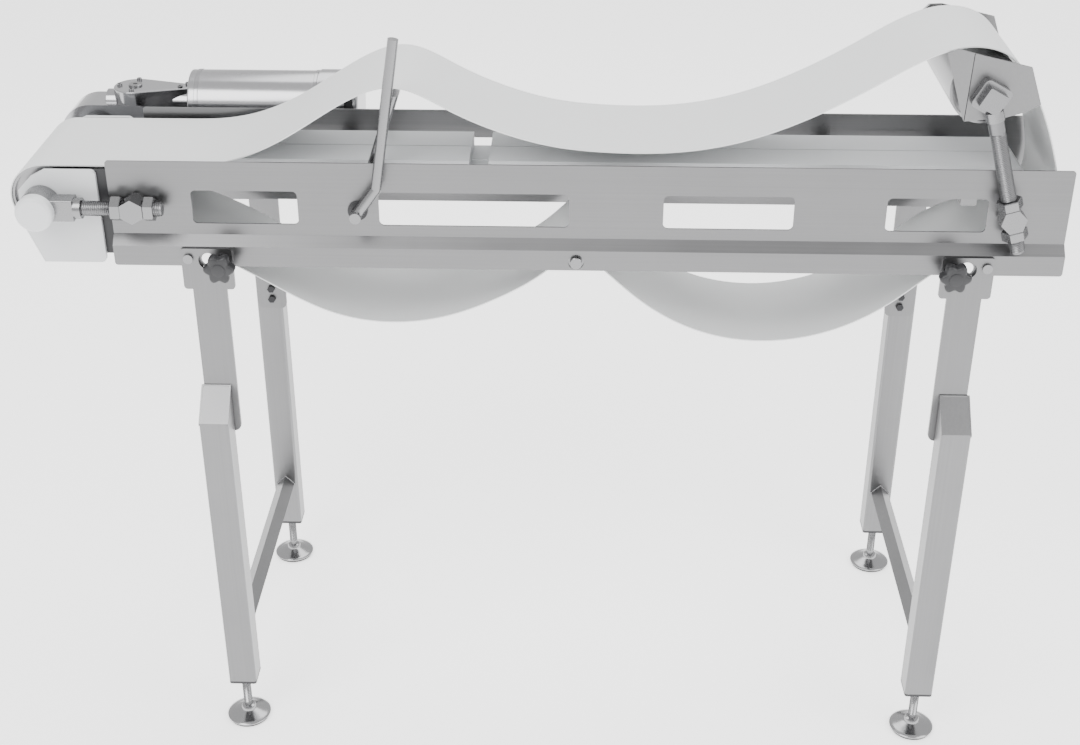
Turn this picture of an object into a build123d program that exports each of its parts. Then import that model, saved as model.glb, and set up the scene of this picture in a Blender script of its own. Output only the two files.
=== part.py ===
"""Sanitary belt conveyor section on two height-adjustable stands.

The model is in its cleaning position: the tail end is tipped up, the belt lifter is raised and the
slack belt hangs in two loops under the frame. Millimetres, +Z up, +X towards the tail, -Y towards the
operator. The origin is on the floor, under the centre of the footprint.
"""
from build123d import *
from math import cos, pi, radians, sin
import os

os.makedirs("parts", exist_ok=True)

# ---------------------------------------------------------------- driving dimensions
# conveyor frame
rail_length = 1536.0
rail_left_x = -685.0
rail_top_z = 1096.0
rail_height = 175.0
rail_upper_height = 125.0
rail_jog = 15.5
sheet = 3.0
belt_width = 220.0
belt_side_gap = 14.0
belt_thickness = 2.0
belt_centre_y = -88.0
pulley_axis_z = 1024.0
pulley_radius = 55.0

# clearances
seat_gap = 0.3
running_gap = 0.05
bolt_gap = 0.5

# windows in the rails: left edge, length
window_height = 57.0
window_bottom_z = 990.0
window_corner = 8.0
windows = [(-553.0, 172.0), (-250.0, 306.0), (207.0, 208.0), (562.0, 160.0)]

# slider bed
strip_width = 65.0
strip_gap = 4.0
strip_thickness = 28.0
strip_left_x = -722.0
strip_right_x = 785.0
cross_bar_width = 25.0
cross_bar_height = 16.0
cross_bar_places = [-590.0, -330.0, 130.0, 490.0, 690.0]

# return bar
return_bar_x = 68.0
return_bar_z = 936.0
return_bar_radius = 10.0
return_bar_reach = 7.0

# end adjusters
head_axis_x = -794.0
head_swivel_x = -641.0
tail_swivel_x = 755.0
tail_arm_length = 206.0
tail_tip_angle = 106.5
rod_radius = 12.5
rod_offset = 150.0
nut_flats = 36.0
nut_height = 16.0
swivel_flats = 36.0
swivel_length = 34.0
swivel_journal_radius = 14.0
clip_radius = 19.0
clip_thickness = 3.0
shaft_radius = 12.5
bearing_radius = 25.0
bearing_width = 16.0

# head end
bearing_block_radius = 30.0
guard_thickness = 7.0
slide_plate_thickness = 6.0
cap_depth = 18.0

# gearbox and motor
drive_centre_y = 126.0
gear_module = 4.0
wheel_teeth = 20
worm_pitch_radius = 12.0
spur_radius = 37.5
spur_teeth = 20
spur_width = 14.0
spur_shift = 16.0
tooth_thickness = 4.4
gear_case_radius = 56.0
gear_case_width = 76.0
gear_wall = 8.0
cover_thickness = 6.0
motor_radius = 56.0
motor_left_x = -607.0
motor_length = 220.0
motor_cap_radius = 58.5
motor_cap_length = 70.0
motor_wall = 4.0

# belt lifter
lifter_x = -284.0
lifter_z = 1016.0
lifter_rod_radius = 9.0
handle_radius = 8.5
bail_radius = 8.0
bail_x = -220.0
bail_z = 1204.0
handle_offset = 149.0
bush_wall = 4.0

# stands
stand_spacing_x = 1244.0
stand_centre_x = 83.0
stand_spacing_y = 524.0
tube = 50.0
tube_wall = 3.0
tube_bottom_z = 99.0
tube_top_z = 703.0
brace_tube = 25.0
brace_z = 196.0
plate_thickness = 6.0
plate_gap = 0.5
plate_shift = 7.0
plate_head_width = 84.0
plate_neck_width = 56.0
plate_bottom_z = 612.0
pin_offset = 23.0
pin_z = 937.0
pin_radius = 5.0
clamp_offset = 33.0
clamp_stud_radius = 5.0
sight_hole_offset = 8.0
sight_hole_radius = 15.0
tilt_limit = 5.0
plate_bolt_z = 655.0
standoff_width = 80.0
standoff_height = 36.0
foot_radius = 40.0
foot_spindle_radius = 8.0
foot_travel = 20.0

# ---------------------------------------------------------------- places worked out from them
rail_right_x = rail_left_x + rail_length
rail_bottom_z = rail_top_z - rail_height
bend_z = rail_top_z - rail_upper_height
flange_top_z = bend_z - rail_jog
rail_inner = belt_width / 2 + belt_side_gap
rail_outer = rail_inner + sheet
flange_outer = rail_outer + rail_jog
flange_inner = flange_outer - sheet
bed_z = pulley_axis_z + pulley_radius
belt_top_z = bed_z + seat_gap + belt_thickness
belt_radius = pulley_radius + seat_gap + belt_thickness
strip_bottom_z = bed_z - strip_thickness
tail_axis_x = tail_swivel_x + tail_arm_length * cos(radians(tail_tip_angle))
tail_axis_z = pulley_axis_z + tail_arm_length * sin(radians(tail_tip_angle))
lay_axis_x = head_axis_x + 2 * spur_radius
worm_z = pulley_axis_z + gear_module * wheel_teeth / 2 + worm_pitch_radius
worm_tip_radius = worm_pitch_radius + gear_module
worm_pitch = pi * gear_module
stand_half_y = stand_spacing_y / 2
plate_outer_y = stand_half_y - tube / 2
plate_inner_y = plate_outer_y - plate_thickness
clamp_z = pin_z - 4
clamp_reach = pin_offset + clamp_offset
SIDES = {"front": -1, "rear": 1}
ENDS = {"left": -1, "right": 1}


def side_y(side, distance):
    """Y of a place at a distance outwards from the belt's centre line."""
    return belt_centre_y + side * distance


def slab(y_a, y_b, plane=Plane.XZ):
    """Plane of the face with the larger Y, for a profile extruded towards -Y."""
    return plane.offset(-max(y_a, y_b)), abs(y_a - y_b)


def side_slab(side, near, far, plane=Plane.XZ):
    """The same for a piece between two distances from the belt's centre line."""
    return slab(side_y(side, near), side_y(side, far), plane)


def adjuster_plane(pivot_x, angle):
    """Plane with its x along the adjuster rod and its origin on the swivel's axis."""
    a = radians(angle)
    return Plane(origin=(pivot_x, 0, pulley_axis_z), x_dir=(cos(a), 0, sin(a)), z_dir=(0, -1, 0))


def rod_plane(plane, side, distance):
    """Plane across the rod at a distance along it from the swivel's axis."""
    spot = plane.from_local_coords((distance, 0, 0))
    centre = Vector(spot.X, side_y(side, rod_offset), spot.Z)
    return Plane(origin=centre, x_dir=(0, 1, 0), z_dir=plane.x_dir)


def finish(builder, label):
    """Name a finished sub-part and write its STEP file."""
    builder.part.label = label
    export_step(builder.part, f"parts/{label}.step")


head_plane = adjuster_plane(head_swivel_x, 180)
tail_plane = adjuster_plane(tail_swivel_x, tail_tip_angle)
head_arm_length = head_swivel_x - head_axis_x


# ---------------------------------------------------------------- side rails
def rail_profile(side):
    """Z-shaped section of a rail: the lower flange stands outside the upper face."""
    points = [
        (rail_outer, rail_top_z), (rail_inner, rail_top_z), (rail_inner, bend_z),
        (flange_inner, flange_top_z), (flange_inner, rail_bottom_z),
        (flange_outer, rail_bottom_z), (flange_outer, flange_top_z), (rail_outer, bend_z),
    ]
    with BuildLine() as line:
        Polyline(*[(side_y(side, d), z) for d, z in points], close=True)
    return line


def stand_x(end):
    """X of a stand's tubes."""
    return stand_centre_x + end * stand_spacing_x / 2


def make_rail(name, side):
    """One formed side rail with its windows, pivot holes and stand cut-outs."""
    with BuildPart() as rail:
        with BuildSketch(Plane.YZ.offset(rail_left_x)):
            add(rail_profile(side))
            make_face()
        extrude(amount=rail_length)
        ends = rail.edges().filter_by(Axis.Y).group_by(Axis.Z)
        fillet(ends[0] + ends[-1], radius=5)
        plane, depth = side_slab(side, rail_inner - 1, flange_outer + 1)
        with BuildSketch(plane):
            for left, length in windows:
                with Locations((left + length / 2, window_bottom_z + window_height / 2)):
                    RectangleRounded(length, window_height, window_corner)
            with Locations((head_swivel_x, pulley_axis_z)):
                Circle(swivel_journal_radius)
            with Locations((tail_swivel_x, pulley_axis_z)):
                Circle(swivel_journal_radius + running_gap)
            with Locations((lifter_x, lifter_z)):
                Circle(lifter_rod_radius + running_gap + bush_wall)
            with Locations((return_bar_x, return_bar_z)):
                Circle(return_bar_radius + 3)
        extrude(amount=depth, mode=Mode.SUBTRACT)
        if side == SIDES["front"]:
            with BuildSketch(plane):
                for end in ENDS.values():
                    x = stand_x(end)
                    with Locations((x - end * sight_hole_offset, clamp_z)):
                        Circle(sight_hole_radius - 4)
                    with Locations((x + end * pin_offset, pin_z)):
                        Circle(pin_radius)
                    with Locations((x - end * clamp_offset, clamp_z)):
                        Circle(clamp_stud_radius)
            extrude(amount=depth, mode=Mode.SUBTRACT)
    finish(rail, name)


make_rail("front_side_rail", SIDES["front"])
make_rail("rear_side_rail", SIDES["rear"])

# ---------------------------------------------------------------- slider bed
with BuildPart() as cross_members:
    with BuildSketch(Plane.XY.offset(strip_bottom_z - cross_bar_height)):
        with Locations(*[(x, belt_centre_y) for x in cross_bar_places]):
            Rectangle(cross_bar_width, 2 * rail_inner)
    extrude(amount=cross_bar_height)
finish(cross_members, "bed_cross_members")

bail_stow_angle = 14.5
bail_reach = ((bail_x - lifter_x) ** 2 + (bail_z - lifter_z) ** 2) ** 0.5
bail_stow_x = lifter_x + bail_reach * cos(radians(bail_stow_angle))
bail_stow_z = lifter_z + bail_reach * sin(radians(bail_stow_angle))

with BuildPart() as strips:
    with BuildSketch(Plane.XY.offset(strip_bottom_z)):
        with Locations(*[(0, belt_centre_y + s * (strip_width + strip_gap) / 2) for s in (-1, 1)]):
            with Locations(((strip_left_x + strip_right_x) / 2, 0)):
                Rectangle(strip_right_x - strip_left_x, strip_width)
    extrude(amount=strip_thickness)
    fillet(strips.edges().filter_by(Axis.Y).group_by(Axis.Z)[-1], radius=8)
    with BuildSketch(Plane.XZ.offset(-belt_centre_y - belt_width / 2)):
        with Locations((bail_stow_x, bed_z)):
            Rectangle(4 * bail_radius, 2 * (bed_z - bail_stow_z + bail_radius + 3))
    extrude(amount=belt_width, mode=Mode.SUBTRACT)
finish(strips, "slider_strips")

# ---------------------------------------------------------------- return bar
with BuildPart() as return_bar:
    plane, depth = slab(side_y(-1, flange_outer + return_bar_reach), side_y(1, flange_outer + return_bar_reach))
    with BuildSketch(plane):
        with Locations((return_bar_x, return_bar_z)):
            Circle(return_bar_radius)
    extrude(amount=depth)
    chamfer(return_bar.edges().filter_by(GeomType.CIRCLE), length=1)
    for side in SIDES.values():
        plane, depth = side_slab(side, flange_inner - 3, flange_inner)
        with BuildSketch(plane):
            with Locations((return_bar_x, return_bar_z - 1)):
                Rectangle(2 * return_bar_radius + 12, 2 * return_bar_radius + 6)
        extrude(amount=depth)
finish(return_bar, "return_bar")


# ---------------------------------------------------------------- end adjusters
def make_swivels(name, plane, rod_bore):
    """Two hexagonal swivel blocks: a headed journal in the rail and a cross bore for the rod."""
    with BuildPart() as swivels:
        for side in SIDES.values():
            face = rail_outer + 6
            spot, depth = side_slab(side, face, face + swivel_length, plane)
            with BuildSketch(spot):
                RegularPolygon(swivel_flats / 2, 6, major_radius=False, rotation=30)
            extrude(amount=depth)
            spot, depth = side_slab(side, rail_inner - clip_thickness - 2, face, plane)
            with BuildSketch(spot):
                Circle(swivel_journal_radius)
            extrude(amount=depth)
            spot, depth = side_slab(side, rail_outer + 0.5, face, plane)
            with BuildSketch(spot):
                Circle(swivel_journal_radius + 3)
            extrude(amount=depth)
            with BuildSketch(rod_plane(plane, side, -swivel_flats)):
                Circle(rod_bore)
            extrude(amount=2 * swivel_flats, mode=Mode.SUBTRACT)
            spot, depth = side_slab(side, rail_inner - 0.5 - clip_thickness, rail_inner - 0.5, plane)
            with BuildSketch(spot):
                Circle(clip_radius)
            extrude(amount=depth)
    finish(swivels, name)


def make_nuts(name, plane):
    """A lock nut each side of both swivel blocks."""
    with BuildPart() as nuts:
        for side in SIDES.values():
            for start in (swivel_flats / 2 + 0.5, -swivel_flats / 2 - 0.5 - nut_height):
                with BuildSketch(rod_plane(plane, side, start)):
                    RegularPolygon(nut_flats / 2, 6, major_radius=False, rotation=30)
                    Circle(rod_radius + running_gap, mode=Mode.SUBTRACT)
                extrude(amount=nut_height)
        corners = nuts.edges().filter_by(GeomType.LINE).filter_by(
            lambda e: abs(e.length - nut_height) > 1)
        chamfer(corners, length=1.2)
    finish(nuts, name)


def make_rods(name, plane, start, end):
    """Threaded adjuster rods, plain where they enter the shaft blocks."""
    with BuildPart() as rods:
        for side in SIDES.values():
            with BuildSketch(rod_plane(plane, side, start)):
                Circle(rod_radius)
            extrude(amount=end - start)
        chamfer(rods.edges().filter_by(GeomType.CIRCLE), length=1.5)
    finish(rods, name)


block_start = 20.0
block_end = 59.0
collar_end = 71.0
collar_radius = 17.0
rod_tail = 47.0

make_swivels("head_swivels", head_plane, rod_radius + running_gap)
make_nuts("head_lock_nuts", head_plane)
make_rods("head_rods", head_plane, -rod_tail, head_arm_length - block_end + 6)

# ---------------------------------------------------------------- head end
with BuildPart() as bearing_blocks:
    for side in SIDES.values():
        axis = head_plane.from_local_coords((head_arm_length, 0, 0))
        plane, depth = side_slab(side, rail_outer + 2, rod_offset + 15)
        with BuildSketch(plane):
            with Locations((axis.X, axis.Z)):
                Circle(bearing_block_radius)
        extrude(amount=depth)
        with BuildSketch(rod_plane(head_plane, side, head_arm_length - block_end)):
            RectangleRounded(30, 36, 2)
        extrude(amount=block_end - block_start)
        with BuildSketch(rod_plane(head_plane, side, head_arm_length - collar_end)):
            Circle(collar_radius)
        extrude(amount=collar_end - block_end)
        with BuildSketch(rod_plane(head_plane, side, head_arm_length - collar_end)):
            Circle(rod_radius)
        extrude(amount=collar_end - block_end + 6, mode=Mode.SUBTRACT)
        plane, depth = side_slab(side, rod_offset - 10, rod_offset + 15)
        with BuildSketch(plane):
            with Locations((axis.X, axis.Z)):
                Circle(bearing_radius)
        extrude(amount=depth, mode=Mode.SUBTRACT)
        plane, depth = side_slab(side, rail_outer + 2, rod_offset - 10)
        with BuildSketch(plane):
            with Locations((axis.X, axis.Z)):
                Circle(shaft_radius + 2)
        extrude(amount=depth, mode=Mode.SUBTRACT)
finish(bearing_blocks, "head_bearing_blocks")

with BuildPart() as head_bearings:
    for side in SIDES.values():
        plane, depth = side_slab(side, rod_offset - 10, rod_offset - 10 + bearing_width)
        with BuildSketch(plane):
            with Locations((head_axis_x, pulley_axis_z)):
                Circle(bearing_radius)
                Circle(shaft_radius + running_gap, mode=Mode.SUBTRACT)
        extrude(amount=depth)
finish(head_bearings, "head_bearings")

cap_face = rod_offset + 15
with BuildPart() as end_cap:
    plane, depth = side_slab(-1, cap_face, cap_face + cap_depth)
    with BuildSketch(plane):
        with Locations((head_axis_x, pulley_axis_z)):
            Circle(bearing_block_radius)
    extrude(amount=depth)
    fillet(end_cap.edges().sort_by(Axis.Y)[0], radius=7)
    plane, depth = side_slab(-1, cap_face - 4, cap_face)
    with BuildSketch(plane):
        with Locations((head_axis_x, pulley_axis_z)):
            Circle(bearing_radius)
            Circle(bearing_radius - 3, mode=Mode.SUBTRACT)
    extrude(amount=depth)
finish(end_cap, "head_end_cap")

guard_right_x = -703.0
guard_bottom_z = 918.0
guard_outer = rail_outer
guard_inner = guard_outer - guard_thickness


def guard_outline():
    """Side guard: square towards the frame, slanted at the lower outer corner."""
    with BuildLine() as line:
        Polyline(
            (guard_right_x, bed_z), (guard_right_x, guard_bottom_z),
            (head_axis_x - 12, guard_bottom_z), (head_axis_x - 37, pulley_axis_z - 42),
            (head_axis_x - 37, pulley_axis_z + 20), (head_axis_x - 15, bed_z - 12),
            (head_axis_x + 8, bed_z), close=True,
        )
    return line


with BuildPart() as guards:
    for side in SIDES.values():
        plane, depth = side_slab(side, guard_inner, guard_outer)
        with BuildSketch(plane):
            add(guard_outline())
            make_face()
            with Locations((head_axis_x, pulley_axis_z)):
                Circle(shaft_radius + 3, mode=Mode.SUBTRACT)
        extrude(amount=depth)
    fillet(guards.edges().filter_by(Axis.Y).group_by(Axis.X)[-1], radius=9)
finish(guards, "head_guards")

with BuildPart() as slide_plates:
    for side in SIDES.values():
        plane, depth = side_slab(side, guard_inner - slide_plate_thickness, guard_inner)
        with BuildSketch(plane):
            with Locations(((head_axis_x + 40 - 625) / 2, (bed_z - 2 + 932) / 2)):
                Rectangle(-625 - head_axis_x - 40, bed_z - 2 - 932)
            with Locations((head_swivel_x, pulley_axis_z)):
                SlotCenterToCenter(30, 2 * clip_radius + 4, mode=Mode.SUBTRACT)
        extrude(amount=depth)
finish(slide_plates, "head_slide_plates")

# ---------------------------------------------------------------- pulleys and shafts
pulley_length = belt_width - 6.0
pulley_wall = 4.0


def make_pulley(name, x, z, bore):
    """Drum with two end discs."""
    with BuildPart() as pulley:
        half = pulley_length / 2
        plane, depth = slab(belt_centre_y + half, belt_centre_y - half)
        with BuildSketch(plane):
            with Locations((x, z)):
                Circle(pulley_radius)
                Circle(pulley_radius - pulley_wall, mode=Mode.SUBTRACT)
        extrude(amount=depth)
        for side in SIDES.values():
            plane, depth = side_slab(side, half - 24, half - 6)
            with BuildSketch(plane):
                with Locations((x, z)):
                    Circle(pulley_radius - pulley_wall / 2)
                    Circle(bore, mode=Mode.SUBTRACT)
            extrude(amount=depth)
    finish(pulley, name)


make_pulley("head_pulley", head_axis_x, pulley_axis_z, shaft_radius)

gear_front_y = drive_centre_y - gear_case_width / 2
gear_rear_y = drive_centre_y + gear_case_width / 2
with BuildPart() as head_shaft:
    plane, depth = slab(side_y(-1, rod_offset + 8), gear_rear_y - 6)
    with BuildSketch(plane):
        with Locations((head_axis_x, pulley_axis_z)):
            Circle(shaft_radius)
    extrude(amount=depth)
    chamfer(head_shaft.edges().filter_by(GeomType.CIRCLE), length=1)
finish(head_shaft, "head_shaft")

# ---------------------------------------------------------------- gear train
# The worm drives the wheel on the layshaft; a pair of spur gears takes the drive to the head shaft.
wheel_width = 16.0
wheel_pitch_radius = gear_module * wheel_teeth / 2
spur_module = 2 * spur_radius / spur_teeth
spur_y = drive_centre_y - spur_shift
lay_shaft_radius = 10.0
lay_bearing_radius = 17.0


def toothed_disc(x, y, width, pitch_radius, teeth, module, first_angle):
    """Gear blank with straight tapered teeth."""
    root = pitch_radius - 1.3 * module
    tip = pitch_radius + 0.85 * module
    plane, depth = slab(y + width / 2, y - width / 2)
    with BuildSketch(plane) as sketch:
        with Locations((x, pulley_axis_z)):
            Circle(root)
            with PolarLocations(0, teeth, start_angle=first_angle):
                with Locations(((root + tip) / 2 - 1, 0)):
                    Trapezoid(tooth_thickness * module / gear_module * 1.35, tip - root + 2, 81,
                              rotation=-90)
    return extrude(sketch.sketch, amount=depth)


worm_wheel = toothed_disc(lay_axis_x, drive_centre_y, wheel_width, wheel_pitch_radius, wheel_teeth,
                          gear_module, 180 / wheel_teeth)
lay_gear = toothed_disc(lay_axis_x, spur_y, spur_width, spur_radius, spur_teeth, spur_module,
                        180 / spur_teeth)
drum_gear = toothed_disc(head_axis_x, spur_y, spur_width, spur_radius, spur_teeth, spur_module, 0)

with BuildPart() as layshaft:
    add(worm_wheel)
    add(lay_gear)
    plane, depth = slab(gear_rear_y - 5, gear_front_y + 5)
    with BuildSketch(plane):
        with Locations((lay_axis_x, pulley_axis_z)):
            Circle(lay_shaft_radius)
    extrude(amount=depth)
finish(layshaft, "gear_layshaft")

with BuildPart() as head_gear:
    add(drum_gear)
    plane, depth = slab(drive_centre_y + 22, spur_y)
    with BuildSketch(plane):
        with Locations((head_axis_x, pulley_axis_z)):
            Circle(20)
    extrude(amount=depth)
    plane, depth = slab(drive_centre_y + 22, spur_y - spur_width)
    with BuildSketch(plane):
        with Locations((head_axis_x, pulley_axis_z)):
            Circle(shaft_radius)
    extrude(amount=depth, mode=Mode.SUBTRACT)
finish(head_gear, "head_gear")

worm_shaft_radius = 8.0
worm_turns = 5
worm_bearing_radius = 17.0
worm_bearing_width = 11.0
worm_bearing_places = [lay_axis_x - 36.0, lay_axis_x + 47.0]
motor_right_x = motor_left_x + motor_length
with BuildPart() as worm_shaft:
    with BuildSketch(Plane.YZ.offset(worm_bearing_places[0] - worm_bearing_width + 1)):
        with Locations((drive_centre_y, worm_z)):
            Circle(worm_shaft_radius)
    extrude(amount=motor_right_x + 30 - worm_bearing_places[0] + worm_bearing_width)
    with BuildLine():
        thread_path = Helix(
            pitch=worm_pitch, height=worm_turns * worm_pitch, radius=worm_shaft_radius - 0.6,
            center=(lay_axis_x - worm_turns * worm_pitch / 2, drive_centre_y, worm_z),
            direction=(1, 0, 0))
    start = thread_path @ 0
    outwards = (start - Vector(start.X, drive_centre_y, worm_z)).normalized()
    with BuildSketch(Plane(origin=start, x_dir=outwards, z_dir=thread_path % 0)):
        depth = worm_tip_radius - worm_shaft_radius + 0.6
        with BuildLine():
            Polyline((0, -3.4), (depth, -1.5), (depth, 1.5), (0, 3.4), close=True)
        make_face()
    sweep(path=thread_path, is_frenet=True)
finish(worm_shaft, "worm_shaft")

# ---------------------------------------------------------------- gearbox
neck_left_x = -719.0
neck_radius = 38.0
neck_right_x = -631.0
neck_tip_radius = 14.0
neck_bottom_z = 1050.0
neck_top_z = worm_z + 22.0


def pear():
    """Plan of the gearbox neck and its cover: wide at the head side, narrow at the motor."""
    with BuildSketch(Plane.XY) as sketch:
        with Locations((neck_left_x, drive_centre_y)):
            Circle(neck_radius)
        with Locations((neck_right_x, drive_centre_y)):
            Circle(neck_tip_radius)
        make_hull()
    return sketch


cover_inset = gear_wall
bearing_seat = 10.0


def gear_case_plan(radius):
    """Outline round both gear axes."""
    with Locations(((head_axis_x + lay_axis_x) / 2, pulley_axis_z)):
        SlotCenterToCenter(lay_axis_x - head_axis_x, 2 * radius)


def shaft_seats(head_radius, lay_radius):
    """A circle on each gear axis."""
    with Locations((head_axis_x, pulley_axis_z)):
        Circle(head_radius)
    with Locations((lay_axis_x, pulley_axis_z)):
        Circle(lay_radius)


with BuildPart() as gearbox:
    plane, depth = slab(gear_rear_y - cover_inset, gear_front_y)
    with BuildSketch(plane):
        gear_case_plan(gear_case_radius)
    extrude(amount=depth)
    with BuildSketch(Plane.YZ.offset(worm_bearing_places[0] - worm_bearing_width - 3)):
        with Locations((drive_centre_y, worm_z)):
            Circle(worm_bearing_radius + 4)
    extrude(amount=worm_bearing_width + 20)
    with BuildSketch(Plane.XY.offset(neck_bottom_z)):
        add(pear().sketch)
    extrude(amount=neck_top_z - neck_bottom_z)
    with BuildSketch(Plane.YZ.offset(-650)):
        with Locations((drive_centre_y, worm_z)):
            Circle(neck_top_z - worm_z)
    extrude(amount=motor_left_x - 10 + 650)
    plane, depth = slab(gear_rear_y + 1, gear_rear_y - cover_inset)
    with BuildSketch(plane):
        gear_case_plan(gear_case_radius)
    extrude(amount=depth, mode=Mode.SUBTRACT)
    # cavities: gear chamber, bearing seats, worm tunnel
    plane, depth = slab(gear_rear_y - cover_inset, gear_front_y + bearing_seat + 4)
    with BuildSketch(plane):
        gear_case_plan(gear_case_radius - gear_wall)
    extrude(amount=depth, mode=Mode.SUBTRACT)
    plane, depth = slab(gear_front_y + bearing_seat + 4, gear_front_y + 4)
    with BuildSketch(plane):
        shaft_seats(bearing_radius, lay_bearing_radius)
    extrude(amount=depth, mode=Mode.SUBTRACT)
    plane, depth = slab(gear_front_y + 4, gear_front_y)
    with BuildSketch(plane):
        with Locations((head_axis_x, pulley_axis_z)):
            Circle(shaft_radius + 1.5)
    extrude(amount=depth, mode=Mode.SUBTRACT)
    with BuildSketch(Plane.YZ.offset(worm_bearing_places[0] - worm_bearing_width)):
        with Locations((drive_centre_y, worm_z)):
            Circle(worm_bearing_radius)
    extrude(amount=worm_bearing_places[1] - worm_bearing_places[0] + worm_bearing_width,
            mode=Mode.SUBTRACT)
    with BuildSketch(Plane.YZ.offset(worm_bearing_places[1])):
        with Locations((drive_centre_y, worm_z)):
            Circle(worm_shaft_radius + 2)
    extrude(amount=motor_left_x - worm_bearing_places[1], mode=Mode.SUBTRACT)
finish(gearbox, "gearbox_housing")

with BuildPart() as side_cover:
    plane, depth = slab(gear_rear_y, gear_rear_y - cover_inset)
    with BuildSketch(plane):
        gear_case_plan(gear_case_radius)
    extrude(amount=depth)
    fillet(side_cover.faces().sort_by(Axis.Y)[-1].edges(), radius=3)
    plane, depth = slab(gear_rear_y - cover_inset, gear_rear_y - bearing_seat - 4)
    with BuildSketch(plane):
        shaft_seats(bearing_radius + 5, lay_bearing_radius + 5)
    extrude(amount=depth)
    plane, depth = slab(gear_rear_y - 4, gear_rear_y - bearing_seat - 4)
    with BuildSketch(plane):
        shaft_seats(bearing_radius, lay_bearing_radius)
    extrude(amount=depth, mode=Mode.SUBTRACT)
finish(side_cover, "gearbox_side_cover")

with BuildPart() as top_cover:
    with BuildSketch(Plane.XY.offset(neck_top_z)):
        add(pear().sketch)
    extrude(amount=cover_thickness)
    fillet(top_cover.faces().sort_by(Axis.Z)[-1].edges(), radius=2)
finish(top_cover, "gearbox_top_cover")

cover_screws = [(neck_left_x - 28, 0), (neck_left_x, -29), (neck_left_x, 29), (neck_right_x - 6, -9),
                (neck_right_x + 4, 8)]
with BuildPart() as gearbox_screws:
    with BuildSketch(Plane.XY.offset(neck_top_z + cover_thickness)):
        with Locations(*[(x, drive_centre_y + y) for x, y in cover_screws]):
            Circle(4.5)
    extrude(amount=4)
    with BuildSketch(Plane.XZ.offset(-gear_rear_y - 4)):
        for x, angle in ((head_axis_x, 90), (lay_axis_x, -90)):
            with Locations((x, pulley_axis_z)):
                with PolarLocations(gear_case_radius - 7, 3, start_angle=angle, angular_range=180,
                                    endpoint=True):
                    Circle(4.5)
    extrude(amount=4)
finish(gearbox_screws, "gearbox_screws")

with BuildPart() as gearbox_bearings:
    for y in (gear_front_y + bearing_seat + 4, gear_rear_y - 4):
        with BuildSketch(Plane.XZ.offset(-y)):
            shaft_seats(bearing_radius, lay_bearing_radius)
            with Locations((head_axis_x, pulley_axis_z)):
                Circle(shaft_radius + running_gap, mode=Mode.SUBTRACT)
            with Locations((lay_axis_x, pulley_axis_z)):
                Circle(lay_shaft_radius + running_gap, mode=Mode.SUBTRACT)
        extrude(amount=bearing_seat)
    for x in worm_bearing_places:
        with BuildSketch(Plane.YZ.offset(x - worm_bearing_width)):
            with Locations((drive_centre_y, worm_z)):
                Circle(worm_bearing_radius)
                Circle(worm_shaft_radius + running_gap, mode=Mode.SUBTRACT)
        extrude(amount=worm_bearing_width)
finish(gearbox_bearings, "gearbox_bearings")

# ---------------------------------------------------------------- motor
with BuildPart() as motor_housing:
    with BuildSketch(Plane.YZ.offset(motor_left_x)):
        with Locations((drive_centre_y, worm_z)):
            Circle(motor_radius)
            Circle(motor_radius - motor_wall, mode=Mode.SUBTRACT)
    extrude(amount=motor_length)
    with BuildSketch(Plane.YZ.offset(motor_left_x - 10)):
        with Locations((drive_centre_y, worm_z)):
            Circle(motor_radius)
            Circle(worm_shaft_radius + 3, mode=Mode.SUBTRACT)
    extrude(amount=10)
    fillet(motor_housing.edges().filter_by(GeomType.CIRCLE).group_by(Axis.X)[0].sort_by(
        SortBy.LENGTH)[-1], radius=3)
finish(motor_housing, "motor_housing")

with BuildPart() as motor_cap:
    with BuildSketch(Plane.YZ.offset(motor_right_x)):
        with Locations((drive_centre_y, worm_z)):
            Circle(motor_cap_radius)
    extrude(amount=motor_cap_length)
    fillet(motor_cap.edges().sort_by(Axis.X)[-1], radius=8)
    with BuildSketch(Plane.YZ.offset(motor_right_x)):
        with Locations((drive_centre_y, worm_z)):
            Circle(motor_cap_radius - 2 * motor_wall)
    extrude(amount=motor_cap_length - 8, mode=Mode.SUBTRACT)
finish(motor_cap, "motor_end_cap")

stator_length = 120.0
stator_left_x = motor_left_x + 50
rotor_radius = 30.0
with BuildPart() as stator:
    with BuildSketch(Plane.YZ.offset(stator_left_x)):
        with Locations((drive_centre_y, worm_z)):
            Circle(motor_radius - motor_wall)
            Circle(rotor_radius + 1, mode=Mode.SUBTRACT)
    extrude(amount=stator_length)
finish(stator, "motor_stator")

with BuildPart() as rotor:
    with BuildSketch(Plane.YZ.offset(stator_left_x)):
        with Locations((drive_centre_y, worm_z)):
            Circle(rotor_radius)
            Circle(worm_shaft_radius, mode=Mode.SUBTRACT)
    extrude(amount=stator_length)
finish(rotor, "motor_rotor")

# ---------------------------------------------------------------- tail end
make_swivels("tail_swivels", tail_plane, rod_radius + running_gap)
make_nuts("tail_lock_nuts", tail_plane)
tail_block_half = 24.0
tail_rod_end = tail_arm_length - tail_block_half * 2 ** 0.5 - 2
make_rods("tail_rods", tail_plane, -rod_tail - 12, tail_rod_end + 8)

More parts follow.
